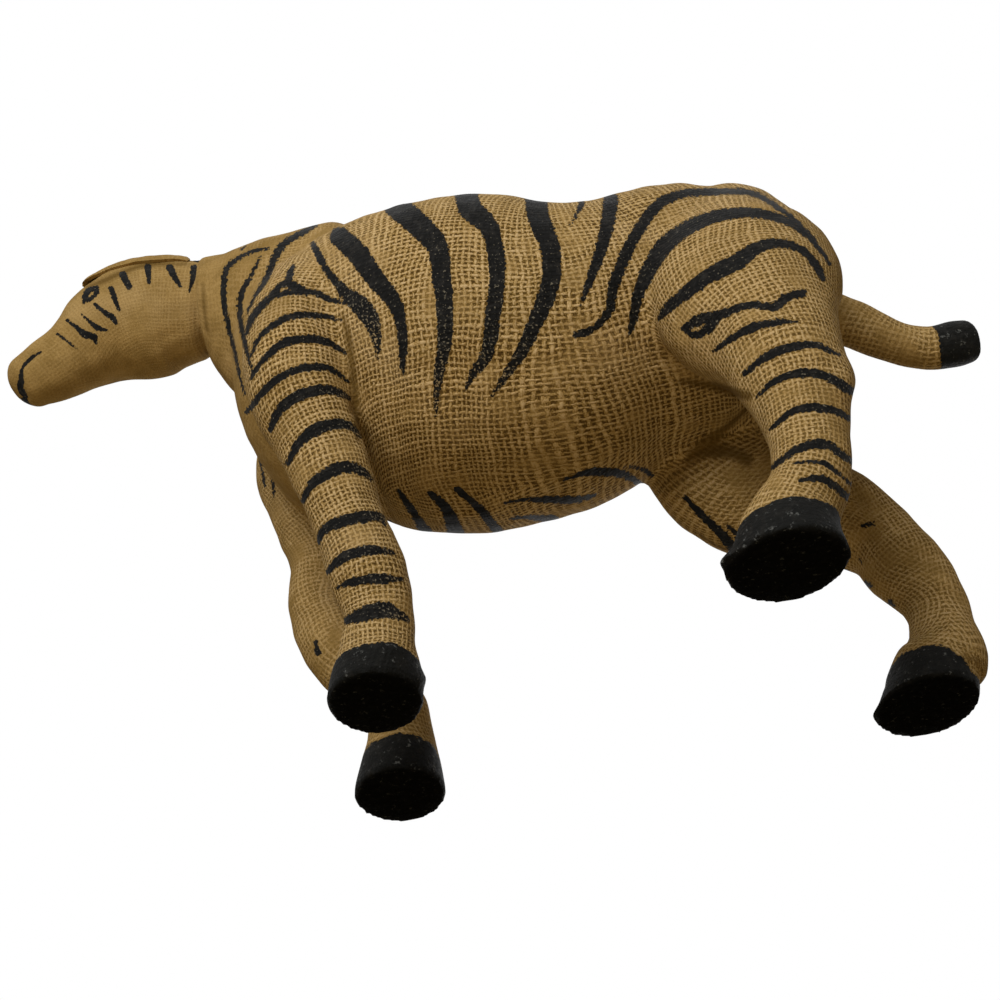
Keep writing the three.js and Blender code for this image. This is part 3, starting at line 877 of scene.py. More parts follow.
def relax(points, edges, weight, rounds):
    """Moves each point towards the middle of its neighbours along the edges, by its weight or
    by one weight for all."""
    count = len(points)
    weight = np.broadcast_to(weight, count)
    a, b = edges[:, 0], edges[:, 1]
    neighbours = np.bincount(a, minlength=count) + np.bincount(b, minlength=count)
    free = (neighbours > 0)[:, None] * weight[:, None]
    neighbours = np.maximum(neighbours, 1)[:, None]
    for _ in range(rounds):
        total = np.empty_like(points)
        for axis in range(3):
            total[:, axis] = np.bincount(a, points[b, axis], count)
            total[:, axis] += np.bincount(b, points[a, axis], count)
        points = points + (total / neighbours - points) * free
    return points


def nearness(distances):
    """How close each point lies to where two forms meet, from 0 to 1."""
    ordered = np.sort(np.abs(distances), axis=1)
    return np.exp(-((ordered[:, 1] / BLEND_REACH) ** 2))


def onto_forms(points, quads):
    """Moves points back onto the skins that they were smoothed away from."""
    for _ in range(RETURN_ROUNDS):
        distances = form_distances(points)
        off = np.clip(distances.min(axis=1), -RETURN_REACH, RETURN_REACH) * (1 - nearness(distances))
        normals = point_normals(points, quads)
        off[(normals[:, 2] < SOLE_FACING) & (points[:, 2] < FLAT_BELOW)] = 0
        points = points - normals * (off * RETURN_SHARE)[:, None]
    return points


def press_creases(form):
    """Presses the seams and folds into the skin that the photograph shows."""
    pixels = project(form.points)
    place = camera_axes()[0]
    facing = ((place - form.points) * form.normals).sum(axis=1) > 0
    for part, points, depth, width in CREASES.values():
        inside = stroke_fields(pixels, {"crease": (points, [0, 0])})[0]
        press = np.clip(1 - (inside * PIXELS_PER_MM / width) ** 2, 0, 1) ** 2
        mine = facing & (form.labels == FORM_NAMES.index(part))
        form.points[mine] -= form.normals[mine] * (press[mine] * depth)[:, None]


def raise_lumps(form):
    """Pushes out the lumps of the hooves' rims and of one hind leg."""
    pixels = project(form.points)
    for part, spot, reach, push, top in LUMPS:
        gap = np.linalg.norm(pixels - np.array(spot), axis=1) / PIXELS_PER_MM
        swell = np.exp(-((gap / reach) ** 2))
        swell[(form.labels != FORM_NAMES.index(part)) | (form.points[:, 2] > top)] = 0
        outward = form.normals * [1, 1, 0]
        form.points += outward * (swell * push)[:, None]


def clear_of_cores(form, edges):
    """Keeps the skin outside the paper cores by the cloth's wall."""
    margin = bpy.context.scene.zebra_sizes.cloth / MM + CORE_AIR
    pushed = np.zeros(len(form.points))
    for label, name in enumerate(FORM_NAMES):
        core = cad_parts[f"{name}_leg_core" if name in LEGS else f"{name}_core"]
        corners = [(core.matrix_world @ v.co) / MM for v in core.data.vertices]
        tree = BVHTree.FromPolygons(corners, [tuple(face.vertices) for face in core.data.polygons])
        for index in np.where((form.labels == label) & (form.points[:, 2] > HOOF_TOP))[0]:
            point = Vector(form.points[index] + SHIFT)
            at, normal, _, gap = tree.find_nearest(point, CORE_REACH)
            if at is None or normal.dot(Vector(form.normals[index])) < CORE_FACING:
                continue
            over = gap if (point - at).dot(normal) > 0 else -gap
            if over < margin:
                pushed[index] = 1
                form.points[index] += form.normals[index] * (margin - over)
    form.points = relax(form.points, edges, SMOOTHING * pushed, CORE_ROUNDS)


def build_form(voxel):
    """The joined form with its soft blends, hand-made lumps, seams and flat soles."""
    blank = join_forms(voxel)
    points = read_points(blank.data)
    quads = read_corners(blank.data).reshape(-1, 4)
    bpy.data.objects.remove(blank)
    edges, beside = edge_pairs(quads)
    points = relax(points, edges, SMOOTHING, SKIN_ROUNDS)
    points = relax(points, edges, SMOOTHING * nearness(form_distances(points)), JOIN_ROUNDS)
    points = onto_forms(points, quads)
    points = relax(points, edges, LAST_SMOOTHING, 1)
    normals = point_normals(points, quads)
    foot = np.clip((points[:, 2] - FOOT_TOP) / FOOT_BLEND, 0, 1)
    lumps = ripple(points, "skin_swell") + ripple(points, "skin_lumps")
    points = points + normals * (lumps * foot)[:, None]
    form = Form(points, quads)
    borders = edges[form.face_labels[beside[:, 0]] != form.face_labels[beside[:, 1]]]
    form.points = relax(form.points, borders, SMOOTHING, BORDER_ROUNDS)
    flat = (form.points[:, 2] < FLAT_BELOW) & (form.normals[:, 2] < FLAT_FACING)
    form.points[flat, 2] = FLAT_LUMPS * (1 + ripple(form.points[flat], "sole"))
    clear_of_cores(form, edges)
    press_creases(form)
    raise_lumps(form)
    form.points[:, 2] = np.maximum(form.points[:, 2], 0)
    return form


# Paint


def stroke_fields(pixels, strokes):
    """Signed distance into the nearest stroke, in millimetres, and how far along it that is."""
    inside = np.full(len(pixels), NO_PAINT)
    along = np.zeros(len(pixels))
    for points, widths in strokes.values():
        reach = sum(math.dist(p, q) for p, q in zip(points, points[1:]))
        steps = max(int(reach / STROKE_STEP), LEAST_POINTS)
        line = spline(np.array(points, float), np.linspace(0, 1, steps))
        width = np.interp(np.linspace(0, 1, steps), np.linspace(0, 1, len(widths)), widths)
        margin = STROKE_MARGIN + max(widths) / 2
        low, high = line.min(axis=0) - margin, line.max(axis=0) + margin
        near = np.where(((pixels > low) & (pixels < high)).all(axis=1))[0]
        start, way = line[:-1], np.diff(line, axis=0)
        length = np.maximum((way**2).sum(axis=1), TINY)
        for first in range(0, len(near), STROKE_CHUNK):
            chosen = near[first:first + STROKE_CHUNK]
            away = pixels[chosen][:, None, :] - start[None]
            share = np.clip((away * way[None]).sum(axis=2) / length, 0, 1)
            gap = np.linalg.norm(away - share[..., None] * way[None], axis=2)
            depth = (width[:-1] + share * np.diff(width)) / 2 - gap
            best = depth.argmax(axis=1)
            rows = np.arange(len(chosen))
            value = depth[rows, best] / PIXELS_PER_MM
            better = value > inside[chosen]
            inside[chosen[better]] = value[better]
            along[chosen[better]] = ((best + share[rows, best]) / (steps - 1))[better]
    return inside, along


def left_twins(name, t, angle, points):
    """Where points of the right side lie on the left: mirrored on the trunk, neck and head, on the
    twin leg below, and between the two at a leg's top."""
    middle = np.interp(t, RUNS[name].t, RUNS[name].centre[:, 1]) if name in MIDDLE_FORMS else 0
    mirrored = points * [1, -1, 1]
    mirrored[:, 1] += 2 * middle
    if name not in TWIN:
        return mirrored
    top = np.clip((t - TWIN_BELOW) / (MIRROR_ABOVE - TWIN_BELOW), 0, 1)[:, None]
    return RUNS[TWIN[name]].surface(t, math.pi - angle) * (1 - top) + mirrored * top


class Paint:
    """What a piece's points carry: the signed distance into the paint, how dry the brush was,
    how thick the coat is, how felted the cloth is and how much painted shade of a fold it takes."""

    def __init__(self, count):
        self.paint = np.full(count, NO_PAINT)
        self.dry = np.zeros(count)
        self.coat = np.zeros(count)
        self.felt = np.zeros(count)
        self.fold_shade = np.zeros(count)

    def brush(self, pixels, strokes, dryness, hidden=None):
        inside, along = stroke_fields(pixels, strokes)
        if hidden is not None:
            inside[hidden] = NO_PAINT
        better = inside > self.paint
        self.paint[better] = inside[better]
        self.dry[better] = along[better] * dryness

    def cover(self, level):
        """Thick black paint wherever the level is above 0, in millimetres from its edge."""
        self.coat = np.maximum(self.coat, np.clip(level / COAT_EDGE + 0.5, 0, 1))
        self.paint = np.maximum(self.paint, level)


def paint_points(name, points, normals):
    """The paint on one form's points, from the brush strokes of the photograph. The right side
    takes the left side's, wandering a little, as a second hand-painted side would."""
    t, angle, _, _ = RUNS[name].locate(points)
    own = Paint(len(points))
    middle = np.interp(t, RUNS[name].t, RUNS[name].centre[:, 1])
    right = points[:, 1] > middle if name in MIDDLE_FORMS else np.full(len(points), name in TWIN)
    seen = points.copy()
    seen[right] = left_twins(name, t[right], angle[right], points[right])
    wander = np.stack([ripple(points, f"wander_{axis}") for axis in "xyz"], axis=1)
    seen[right] += wander[right]
    pixels = project(seen)
    for strokes, dryness in BRUSHED.get(name, ()):
        own.brush(pixels, strokes, dryness)
    if name in LEGS:
        side = name.split("_")[1]
        inward = normals[:, 1] if side == "left" else -normals[:, 1]
        own.paint -= np.clip((inward - INNER_FROM[side]) / INNER_FADE, 0, -NO_PAINT)
    away = ((camera_axes()[0] - points) * normals).sum(axis=1) < 0
    if name in FAR_BRUSHED:
        left = points[:, 1] < middle - FAR_LAP if name == "torso" else False
        own.brush(project(points), FAR_BRUSHED[name], FAR_DRYNESS, hidden=away | left)
    if name in LEGS:
        level = HOOF_LINES[name] + ripple(points, "hoof_line") - points[:, 2]
        if name in HOOF_DABS:
            dab = stroke_fields(project(points), {"dab": HOOF_DABS[name]})[0]
            dab[away | (points[:, 2] > 2 * HOOF_TOP)] = NO_PAINT
            level = np.maximum(level, dab + ripple(points, "dab_edge"))
        own.cover(level)
    if name == "tail":
        own.cover(points[:, 0] - TIP_START - ripple(points, "tip_line"))
    own.felt = felting(name, t, points)
    # The painted shade of the folds that lie in the dark
    own.fold_shade = np.clip(stroke_fields(pixels, FOLD_SHADE_STROKES)[0] / FOLD_SHADE_EDGE + 0.5, 0, 1)
    return own


def felting(name, t, points):
    """How far glue and handling have closed the weave, from 0, open, to 1, smooth."""
    low, high = FELTING[name]
    if name == "torso":
        back = np.clip((points[:, 2] - BACK_FROM) / BACK_OVER, 0, 1)
        front = np.clip((CHEST_FROM - points[:, 0]) / CHEST_OVER, 0, 1)
        return low + (high - low) * np.maximum(BACK_SHARE * back, front)
    if name == "neck":
        return low + (high - low) * np.clip((NECK_FROM - points[:, 0]) / NECK_OVER, 0, 1)
    return low + (high - low) * (1 - t)


# Each piece: its form, the zone of the form that it is, the node that it stands for and its slot
PIECES = {
    "torso_skin": ("torso", "body", "torso_cover", "jute_cloth"),
    "neck_skin": ("neck", "body", "neck_cover", "jute_cloth"),
    "head_skin": ("head", "body", "head_cover", "head_cloth"),
    "tail_skin": ("tail", "body", "tail_cover", "jute_cloth"),
    "tail_tip_skin": ("tail", "tip", "tail_tip", "black_paint"),
}
for leg in LEGS:
    PIECES[f"{leg}_leg_skin"] = (leg, "body", f"{leg}_leg_cover", "jute_cloth")
    PIECES[f"{leg}_hoof_skin"] = (leg, "hoof", f"{leg}_hoof", "black_paint")
    PIECES[f"{leg}_sole_skin"] = (leg, "sole", f"{leg}_sole", "black_paint")

# These have strokes too fine for the skin's own step, so their faces are split once.
FINE_PIECES = ("neck_skin", "head_skin", "front_left_leg_skin", "hind_left_leg_skin")


def zone_of(form, name):
    """Which zone of its form each face belongs to: its body, hoof, sole or tip."""
    middle = form.points[form.quads].mean(axis=1)
    zone = np.full(len(form.quads), "body", dtype="<U4")
    if name in LEGS:
        zone[middle[:, 2] < HOOF_TOP] = "hoof"
        zone[middle[:, 2] < SOLE_TOP] = "sole"
    if name == "tail":
        zone[middle[:, 0] > TIP_START] = "tip"
    return zone


def weave_map(name, points, normals, quads):
    """Each corner's place on the cloth, in millimetres round and along the form. The trunk, neck
    and head are covered from two sides, and the legs and tail are wrapped from one."""
    run = RUNS[name]
    t, angle, past, _ = run.locate(points)
    turn = angle[quads]
    if name in MIDDLE_FORMS:
        on_left = np.cos(turn).mean(axis=1) < 0
        turn[on_left] = turn[on_left] % (2 * math.pi) - math.pi
        turn[~on_left] = (turn[~on_left] + math.pi) % (2 * math.pi) - math.pi
    else:
        outer = math.pi if name.endswith("left") else 0.0
        turn = (turn - outer + math.pi) % (2 * math.pi) - math.pi
        wide = turn.max(axis=1) - turn.min(axis=1) > math.pi
        turn[wide] = np.where(turn[wide] < 0, turn[wide] + 2 * math.pi, turn[wide])
    size = run.at(t, run.size)
    radius = (size[:, 0] + (size[:, 1] + size[:, 2]) / 2) / 2
    u = turn * radius[quads]
    v = (np.interp(t, run.t, run.arc) + past)[quads]
    facing = normals[quads].mean(axis=1)
    end_on = np.abs((facing * run.at(t, run.forward)[quads].mean(axis=1)).sum(axis=1)) > END_ON
    u[end_on] = points[quads[end_on]][:, :, 1]
    v[end_on] = points[quads[end_on]][:, :, 0 if name in LEGS else 2]
    return np.stack([u, v], axis=2) * (LEG_WEAVE if name in LEGS else 1)


def dress(piece, paint, weave, material):
    """Gives a skin its paint, its cloth map and its material."""
    mesh = piece.data
    for label in ("paint", "dry", "coat", "felt", "fold_shade"):
        layer = mesh.attributes.new(label, "FLOAT", "POINT")
        layer.data.foreach_set("value", getattr(paint, label).astype(np.float32))
    layer = mesh.uv_layers.new(name="weave")
    layer.data.foreach_set("uv", weave.astype(np.float32).ravel())
    mesh.materials.append(material)


def wall(piece, thickness):
    """Gives a skin its wall, inwards, and smooths all but its edges."""
    apply_modifier(piece, "cloth", "SOLIDIFY", thickness=thickness, offset=-1)
    bpy.ops.object.shade_smooth_by_angle(angle=math.radians(SMOOTH_ANGLE))


def seat(piece, node):
    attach(piece, BODY)
    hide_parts(node)


def cut_piece(form, piece_name):
    """One cloth piece from the joined form, with its wall, its map and its paint."""
    name, zone, node, slot = PIECES[piece_name]
    mine = (form.face_labels == FORM_NAMES.index(name)) & (zone_of(form, name) == zone)
    if not mine.any():
        raise RuntimeError(f"{piece_name} has no faces")
    used, corners = np.unique(form.quads[mine], return_inverse=True)
    points = form.points[used]
    if name == "neck":
        lap = np.clip(1 - (points[:, 0] - NECK["throat"][0]) / LAP_RUN, 0, 1)
        points = points + form.normals[used] * (lap * LAP_RISE)[:, None]
    piece = new_mesh_object(piece_name, points + SHIFT, corners.reshape(-1, 4).tolist())
    if piece_name in FINE_PIECES:
        apply_modifier(piece, "finer", "SUBSURF", levels=1, render_levels=1)
    points = read_points(piece.data) - SHIFT
    quads = read_corners(piece.data).reshape(-1, 4)
    normals = point_normals(points, quads)
    paint = paint_points(name, points, normals)
    dress(piece, paint, weave_map(name, points, normals, quads), material_for(slot))
    wall(piece, bpy.context.scene.zebra_sizes.cloth)
    seat(piece, node)


# Ears and mane


def table_at(table, t):
    """The rows of a table at shares t, straight between them."""
    values = np.array(table, float)
    return np.stack([np.interp(t, values[:, 0], values[:, k]) for k in range(1, values.shape[1])], axis=1)


def make_ear(name, node, on_left):
    """An ear's leaf: a sheet laid along the head from brow to poll, with its rim turned down."""
    bpy.ops.object.select_all(action="DESELECT")
    along, across = EAR_STEPS
    bpy.ops.mesh.primitive_grid_add(x_subdivisions=along, y_subdivisions=across, size=2, calc_uvs=False)
    piece = bpy.context.object
    piece.name = name
    piece.data.name = name
    flat = read_points(piece.data) * MM
    s, w = (flat[:, 0] + 1) / 2, (flat[:, 1] + 1) / 2
    t = EAR_LEAF[0][0] + s * (EAR_LEAF[-1][0] - EAR_LEAF[0][0])
    low, high, lift = table_at(EAR_LEAF, t).T
    degrees = low + (high - low) * w
    rim = np.minimum(np.minimum(s, 1 - s) * EAR_RIM_ALONG, np.minimum(w, 1 - w) * EAR_RIM_ACROSS)
    angle = np.radians(degrees if on_left else 180 - degrees)
    run = RUNS["head"]
    size = run.at(t, run.size)
    rise = np.where(np.sin(angle) > 0, size[:, 1], size[:, 2])
    outward = unit(
        run.at(t, run.side) * (np.cos(angle) / size[:, 0])[:, None]
        + run.at(t, run.up) * (np.sin(angle) / rise)[:, None]
    )
    off = lift - EAR_RIM_TURN * np.clip(1 - rim, 0, 1) ** 2 + ripple(flat * EAR_SPREAD, "ear")
    points = run.surface(t, angle) + outward * off[:, None]
    piece.data.vertices.foreach_set("co", ((points + SHIFT) * MM).astype(np.float32).ravel())
    piece.data.update()
    quads = read_corners(piece.data).reshape(-1, 4)
    if (point_normals(points, quads) * outward).sum() < 0:
        piece.data.flip_normals()
        quads = read_corners(piece.data).reshape(-1, 4)
    paint = Paint(len(points))
    paint.felt[:] = FELTING["ear"]
    weave = np.stack([np.interp(t, run.t, run.arc), angle * size[:, 0]], axis=1)[quads]
    dress(piece, paint, weave, material_for("head_cloth"))
    wall(piece, bpy.context.scene.zebra_sizes.ear)
    seat(piece, node)


def mane_sections():
    """Sections along the crest, where the mane's strip stands on the head and the neck."""
    stops = {}
    jowl, lap = 1 - 1 / (len(HEAD) - 1), 1 / (len(NECK) - 1)
    for name, first, last in (("head", MANE_HEAD, jowl), ("neck", lap, MANE_NECK)):
        for t in np.linspace(first, last, MANE_STOPS):
            x, y, z = RUNS[name].surface(np.array([t]), np.array([math.pi / 2]))[0]
            stops[f"{name}_{t:.2f}"] = section(x, y, z, MANE_WIDTH / 2, MANE_HEIGHT, MANE_ROOT)
    return stops


def make_mane():
    """The mane: a folded strip on end along the crest, with the ends of its threads showing and
    the neck's bars carried on over it."""
    rise = MANE_WIDTH / 2
    run = Run(mane_sections(), rise, rise)
    points, faces = run.skin(*MANE_GRID, dome=MANE_DOME)
    t, angle, _, _ = run.locate(points)
    arc = np.interp(t, run.t, run.arc)
    middle = run.at(t, run.centre)
    outward = unit(points - middle)
    top = np.clip(np.sin(angle), 0, 1)
    threads = THREAD_RISE * np.sin(arc * 2 * math.pi / THREAD_PITCH + ripple(points, "mane_threads"))
    points = points + outward * (threads * (1 - THREAD_LOSS * top))[:, None]
    points[:, 1] += ripple(points, "mane_sway") * top
    points[:, 2] += (ripple(points, "mane_top") - THREAD_SINK) * top
    piece = new_mesh_object("mane_folded_strip", points + SHIFT, faces)
    paint = Paint(len(points))
    bars = np.sin(arc * 2 * math.pi / MANE_BAR_PITCH + ripple(points, "mane_bars"))
    paint.paint = (bars - MANE_BARE) * MANE_BAR_PITCH / 4
    paint.dry[:] = MANE_DRYNESS
    paint.felt[:] = FELTING["mane"]
    weave = np.stack([arc, angle * MANE_ROUND], axis=1)[read_corners(piece.data)]
    dress(piece, paint, weave, material_for("jute_cloth"))
    select_only(piece)
    bpy.ops.object.shade_smooth()
    seat(piece, "mane_strip")


# Materials


class Graph:
    """Short words for the nodes of a material or of the world."""

    def __init__(self, owner):
        owner.use_nodes = True
        self.owner = owner
        self.tree = owner.node_tree
        self.tree.nodes.clear()

    def put(self, socket, value):
        if isinstance(value, bpy.types.NodeSocket):
            self.tree.links.new(value, socket)
        else:
            socket.default_value = value

    def node(self, kind, inputs=None, **settings):
        made = self.tree.nodes.new(kind)
        for key, value in settings.items():
            setattr(made, key, value)
        for key, value in (inputs or {}).items():
            self.put(made.inputs[key], value)
        return made

    def math(self, operation, *values):
        made = self.node("ShaderNodeMath", operation=operation)
        for socket, value in zip(made.inputs, values):
            self.put(socket, value)
        return made.outputs[0]

    def add(self, a, b):
        return self.math("ADD", a, b)

    def times(self, a, b):
        return self.math("MULTIPLY", a, b)

    def less(self, a, b):
        return self.math("SUBTRACT", a, b)

    def band(self, value, low, high):
        """0 at low, 1 at high, smooth between."""
        settings = {"Value": value, "From Min": low, "From Max": high}
        made = self.node("ShaderNodeMapRange", settings, interpolation_type="SMOOTHSTEP")
        return made.outputs["Result"]

    def mix(self, factor, a, b):
        """Colour a where the factor is 0 and colour b where it is 1."""
        made = self.node("ShaderNodeMix", data_type="RGBA")
        for place, value in ((0, factor), (6, a), (7, b)):
            self.put(made.inputs[place], value)
        return made.outputs[2]

    def blend(self, factor, a, b):
        """Number a where the factor is 0 and number b where it is 1."""
        made = self.node("ShaderNodeMix", data_type="FLOAT")
        for place, value in ((0, factor), (2, a), (3, b)):
            self.put(made.inputs[place], value)
        return made.outputs[0]

    def noise(self, vector, scale, detail, rough=0.5):
        settings = {"Vector": vector, "Scale": scale, "Detail": detail, "Roughness": rough}
        return self.node("ShaderNodeTexNoise", settings).outputs["Fac"]

    def swing(self, vector, scale, detail=1.0):
        """Noise about 0."""
        return self.less(self.noise(vector, scale, detail), 0.5)

    def vector(self, x, y, z):
        return self.node("ShaderNodeCombineXYZ", {"X": x, "Y": y, "Z": z}).outputs[0]

    def moved(self, vector, offset):
        return self.node("ShaderNodeVectorMath", {0: vector, 1: offset}, operation="ADD").outputs[0]

    def attribute(self, name):
        return self.node("ShaderNodeAttribute", attribute_name=name).outputs["Fac"]

    def place(self):
        return self.node("ShaderNodeTexCoord").outputs["Object"]

    def surface(self, kind, shader):
        """Ends the graph in an output of that kind and gives back the material or the world."""
        self.put(self.node(kind).inputs["Surface"], shader)
        return self.owner

    def finish(self, color, roughness, height, depth, strength, metallic=0.0, specular=0.3):
        bump = self.node("ShaderNodeBump", {"Height": height, "Distance": depth, "Strength": strength})
        shader = self.node("ShaderNodeBsdfPrincipled", {
            "Base Color": color,
            "Roughness": roughness,
            "Metallic": metallic,
            "Specular IOR Level": specular,
            "Normal": bump.outputs[0],
        })
        return self.surface("ShaderNodeOutputMaterial", shader.outputs[0])


def new_graph(name):
    """The empty graph of a new material."""
    return Graph(bpy.data.materials.new(name))


def rgba(color):
    return (*color, 1.0)


def strand(g, along, across, seed):
    """One set of threads: how high each stands over its own width, and each thread's own tone."""
    cell = g.math("FLOOR", across)
    off_middle = g.less(g.less(across, cell), 0.5)
    slub = g.noise(g.vector(g.times(cell, 7.13), g.times(along, 0.45), seed), 1.0, 2.0)
    half = g.add(g.times(slub, 0.46), 0.085)
    ratio = g.math("DIVIDE", off_middle, half)
    body = g.math("POWER", g.math("MAXIMUM", g.less(1.0, g.times(ratio, ratio)), 0.0), 0.7)
    tone = g.node("ShaderNodeTexWhiteNoise", {"W": g.add(cell, seed)}, noise_dimensions="1D")
    return body, tone.outputs["Value"]


def sway(g, place):
    """How far the threads stray from straight, in threads: wide, close and fine."""
    wide = g.times(g.swing(place, 24.0), 4.0)
    close = g.times(g.swing(place, 75.0), 0.9)
    fine = g.times(g.swing(place, 270.0), 0.45)
    return g.add(wide, g.add(close, fine))


def weave(g, place, pitch):
    """Plain weave over the cloth map: its height from 0 to 1, its fibres and its threads' tones."""
    parts = g.node("ShaderNodeSeparateXYZ", {0: g.node("ShaderNodeUVMap", uv_map="weave").outputs["UV"]})
    other = g.moved(place, (0.31, 0.17, 0.53))
    u = g.add(g.times(parts.outputs[0], 1 / pitch), sway(g, place))
    v = g.add(g.times(parts.outputs[1], 1 / pitch), sway(g, other))
    warp, warp_tone = strand(g, v, u, 3.7)
    weft, weft_tone = strand(g, u, v, 41.3)
    wave = g.times(g.math("SINE", g.times(u, math.pi)), g.math("SINE", g.times(v, math.pi)))
    warp_high = g.times(warp, g.add(g.times(wave, 0.28), 0.72))
    weft_high = g.times(weft, g.less(0.72, g.times(wave, 0.28)))
    warp_on_top = g.math("GREATER_THAN", warp_high, weft_high)
    fibre = g.blend(
        warp_on_top,
        g.noise(g.vector(g.times(u, 1.6), g.times(v, 8.0), 9.0), 1.0, 2.0),
        g.noise(g.vector(g.times(u, 8.0), g.times(v, 1.6), 0.0), 1.0, 2.0),
    )
    tone = g.blend(warp_on_top, weft_tone, warp_tone)
    return g.math("MAXIMUM", warp_high, weft_high), g.less(fibre, 0.5), g.less(tone, 0.5)


def cloth_colors(g, place, height, fibre, tone, closed):
    """From the dark holes up to the light backs of the threads, as painted shade and highlight, with
    felted and stained patches.
    """
    colors = bpy.context.scene.zebra_colors
    hole_shade, shade_and_stain = rgba(colors.hole_shade), rgba(colors.shade_and_stain)
    thread, straw_and_highlight = rgba(colors.thread), rgba(colors.straw_and_highlight)
    twist = g.add(g.times(fibre, 0.95), g.times(tone, 0.20))
    hairs = g.times(g.swing(place, 1800.0, 2.0), 1.15)
    # The level follows the threads' height. The holes and the threads' sides take painted shade, and
    # their backs and crossings take painted highlights. The fibres, tones and hairs are the jute's own
    level = g.add(g.times(height, 0.62), g.add(twist, hairs))
    cloth = g.mix(g.band(level, 0.00, 0.20), hole_shade, shade_and_stain)
    cloth = g.mix(g.band(level, 0.14, 0.36), cloth, thread)
    cloth = g.mix(g.band(level, 0.36, 0.66), cloth, straw_and_highlight)
    mottle = g.add(g.noise(place, 1500.0, 3.0, 0.6), g.times(g.swing(place, 130.0, 3.0), 0.9))
    felt = g.mix(g.band(mottle, 0.28, 0.72), g.mix(0.45, shade_and_stain, thread), thread)
    felt = g.mix(g.times(g.band(closed, 0.55, 0.85), 0.22), felt, shade_and_stain)
    cloth = g.mix(closed, cloth, felt)
    stain = g.noise(place, 24.0, 3.0)
    cloth = g.mix(g.times(g.band(stain, 0.52, 0.74), 0.30), cloth, shade_and_stain)
    return g.mix(g.times(g.band(stain, 0.46, 0.30), 0.12), cloth, straw_and_highlight)


def jute_material(name, pitch, depth, rough_edge):
    """Plain-woven jute, with black paint where the piece's paint attribute says."""
    g = new_graph(name)
    place = g.place()
    height, fibre, tone = weave(g, place, pitch)
    patches = g.band(g.noise(place, 62.0, 2.0), 0.50, 0.68)
    closed = g.math("MINIMUM", g.add(g.attribute("felt"), g.times(patches, 0.42)), 0.94)
    cloth = cloth_colors(g, place, height, fibre, tone, closed)
    colors = bpy.context.scene.zebra_colors
    distance, dry, coat = (g.attribute(label) for label in ("paint", "dry", "coat"))
    ragged = g.add(g.times(g.swing(place, 480.0, 3.0), 2.0), g.times(g.less(height, 0.5), 0.6))
    mask = g.band(g.add(distance, g.times(ragged, rough_edge)), -0.14, 0.16)
    speck = g.add(g.noise(place, 1250.0, 2.0), g.times(g.less(height, 0.6), 0.10))
    worn = g.band(speck, g.less(0.70, g.times(dry, 0.22)), g.less(0.80, g.times(dry, 0.22)))
    worn = g.times(worn, g.less(1.0, coat))
    rubbed = g.mix(g.band(dry, 0.55, 0.95), rgba(colors.rubbed), cloth)
    thin = g.band(g.noise(place, 340.0, 3.0), 0.46, 0.74)
    black = g.mix(thin, rgba(colors.paint), rgba(colors.paint_light))
    black = g.mix(worn, black, rubbed)
    black = g.mix(g.times(coat, 0.5), black, rgba(colors.coat))
    chips = g.times(g.band(g.noise(place, 400.0, 4.0, 0.75), 0.59, 0.68), g.times(coat, 0.8))
    black = g.mix(chips, black, rgba(colors.chip))
    # Painted shade in the folds: a dark mix of the hole and thread-side colours laid over the cloth
    fold_shade_color = g.mix(0.5, rgba(colors.hole_shade), rgba(colors.shade_and_stain))
    cloth = g.mix(g.times(g.attribute("fold_shade"), 0.85), cloth, fold_shade_color)
    color = g.mix(mask, cloth, black)
    cloth_height = g.times(g.add(height, g.times(fibre, 0.5)), g.less(1.0, g.times(closed, 0.75)))
    daubs = g.add(g.times(g.noise(place, 420.0, 4.0, 0.65), 2.2), g.times(cloth_height, 0.4))
    relief = g.blend(coat, g.blend(g.times(mask, 0.30), cloth_height, 0.5), daubs)
    rough = g.blend(mask, 0.95, 0.72)
    return g.finish(color, rough, relief, depth, strength=0.9, specular=0.05)


def paper_material():
    g = new_graph("pressed paper")
    colors = bpy.context.scene.zebra_colors
    place = g.place()
    pulp = g.noise(place, 160.0, 4.0, 0.6)
    color = g.mix(pulp, g.mix(0.4, rgba(colors.paper), rgba(colors.shade_and_stain)), rgba(colors.paper))
    return g.finish(color, 0.92, pulp, depth=0.0006, strength=0.7)


def wire_material():
    g = new_graph("drawn wire")
    colors = bpy.context.scene.zebra_colors
    streak = g.noise(g.place(), 500.0, 2.0)
    color = g.mix(streak, g.mix(0.35, rgba(colors.wire), rgba(colors.hole_shade)), rgba(colors.wire))
    rough = g.add(0.3, g.times(streak, 0.2))
    return g.finish(color, rough, streak, depth=0.0001, strength=0.3, metallic=1.0, specular=0.5)


MADE = {}


def material_for(slot):
    """The material of a slot, made when it is first asked for. The paint lies on the same jute."""
    cloth = "head_cloth" if slot == "head_cloth" else "jute_cloth"
    if cloth not in MADE:
        sizes = bpy.context.scene.zebra_sizes
        if cloth == "head_cloth":
            MADE[cloth] = jute_material("fine jute", sizes.head_pitch / MM, depth=0.0003, rough_edge=0.5)
        else:
            MADE[cloth] = jute_material("open jute", sizes.weave_pitch / MM, depth=0.0005, rough_edge=1.0)
    return MADE[cloth]


def whole_form():
    """The joined form, made when the first piece asks for it."""
    if "form" not in MADE:
        MADE["form"] = build_form(bpy.context.scene.zebra_sizes.step)
    return MADE["form"]


# Settings


def length(name, description, default, smallest, largest):
    return bpy.props.FloatProperty(
        name=name, description=description, default=default, min=smallest, max=largest, unit="LENGTH")


def color(name, description, default):
    return bpy.props.FloatVectorProperty(
        name=name, description=description, default=default, min=0, max=1, size=3, subtype="COLOR")


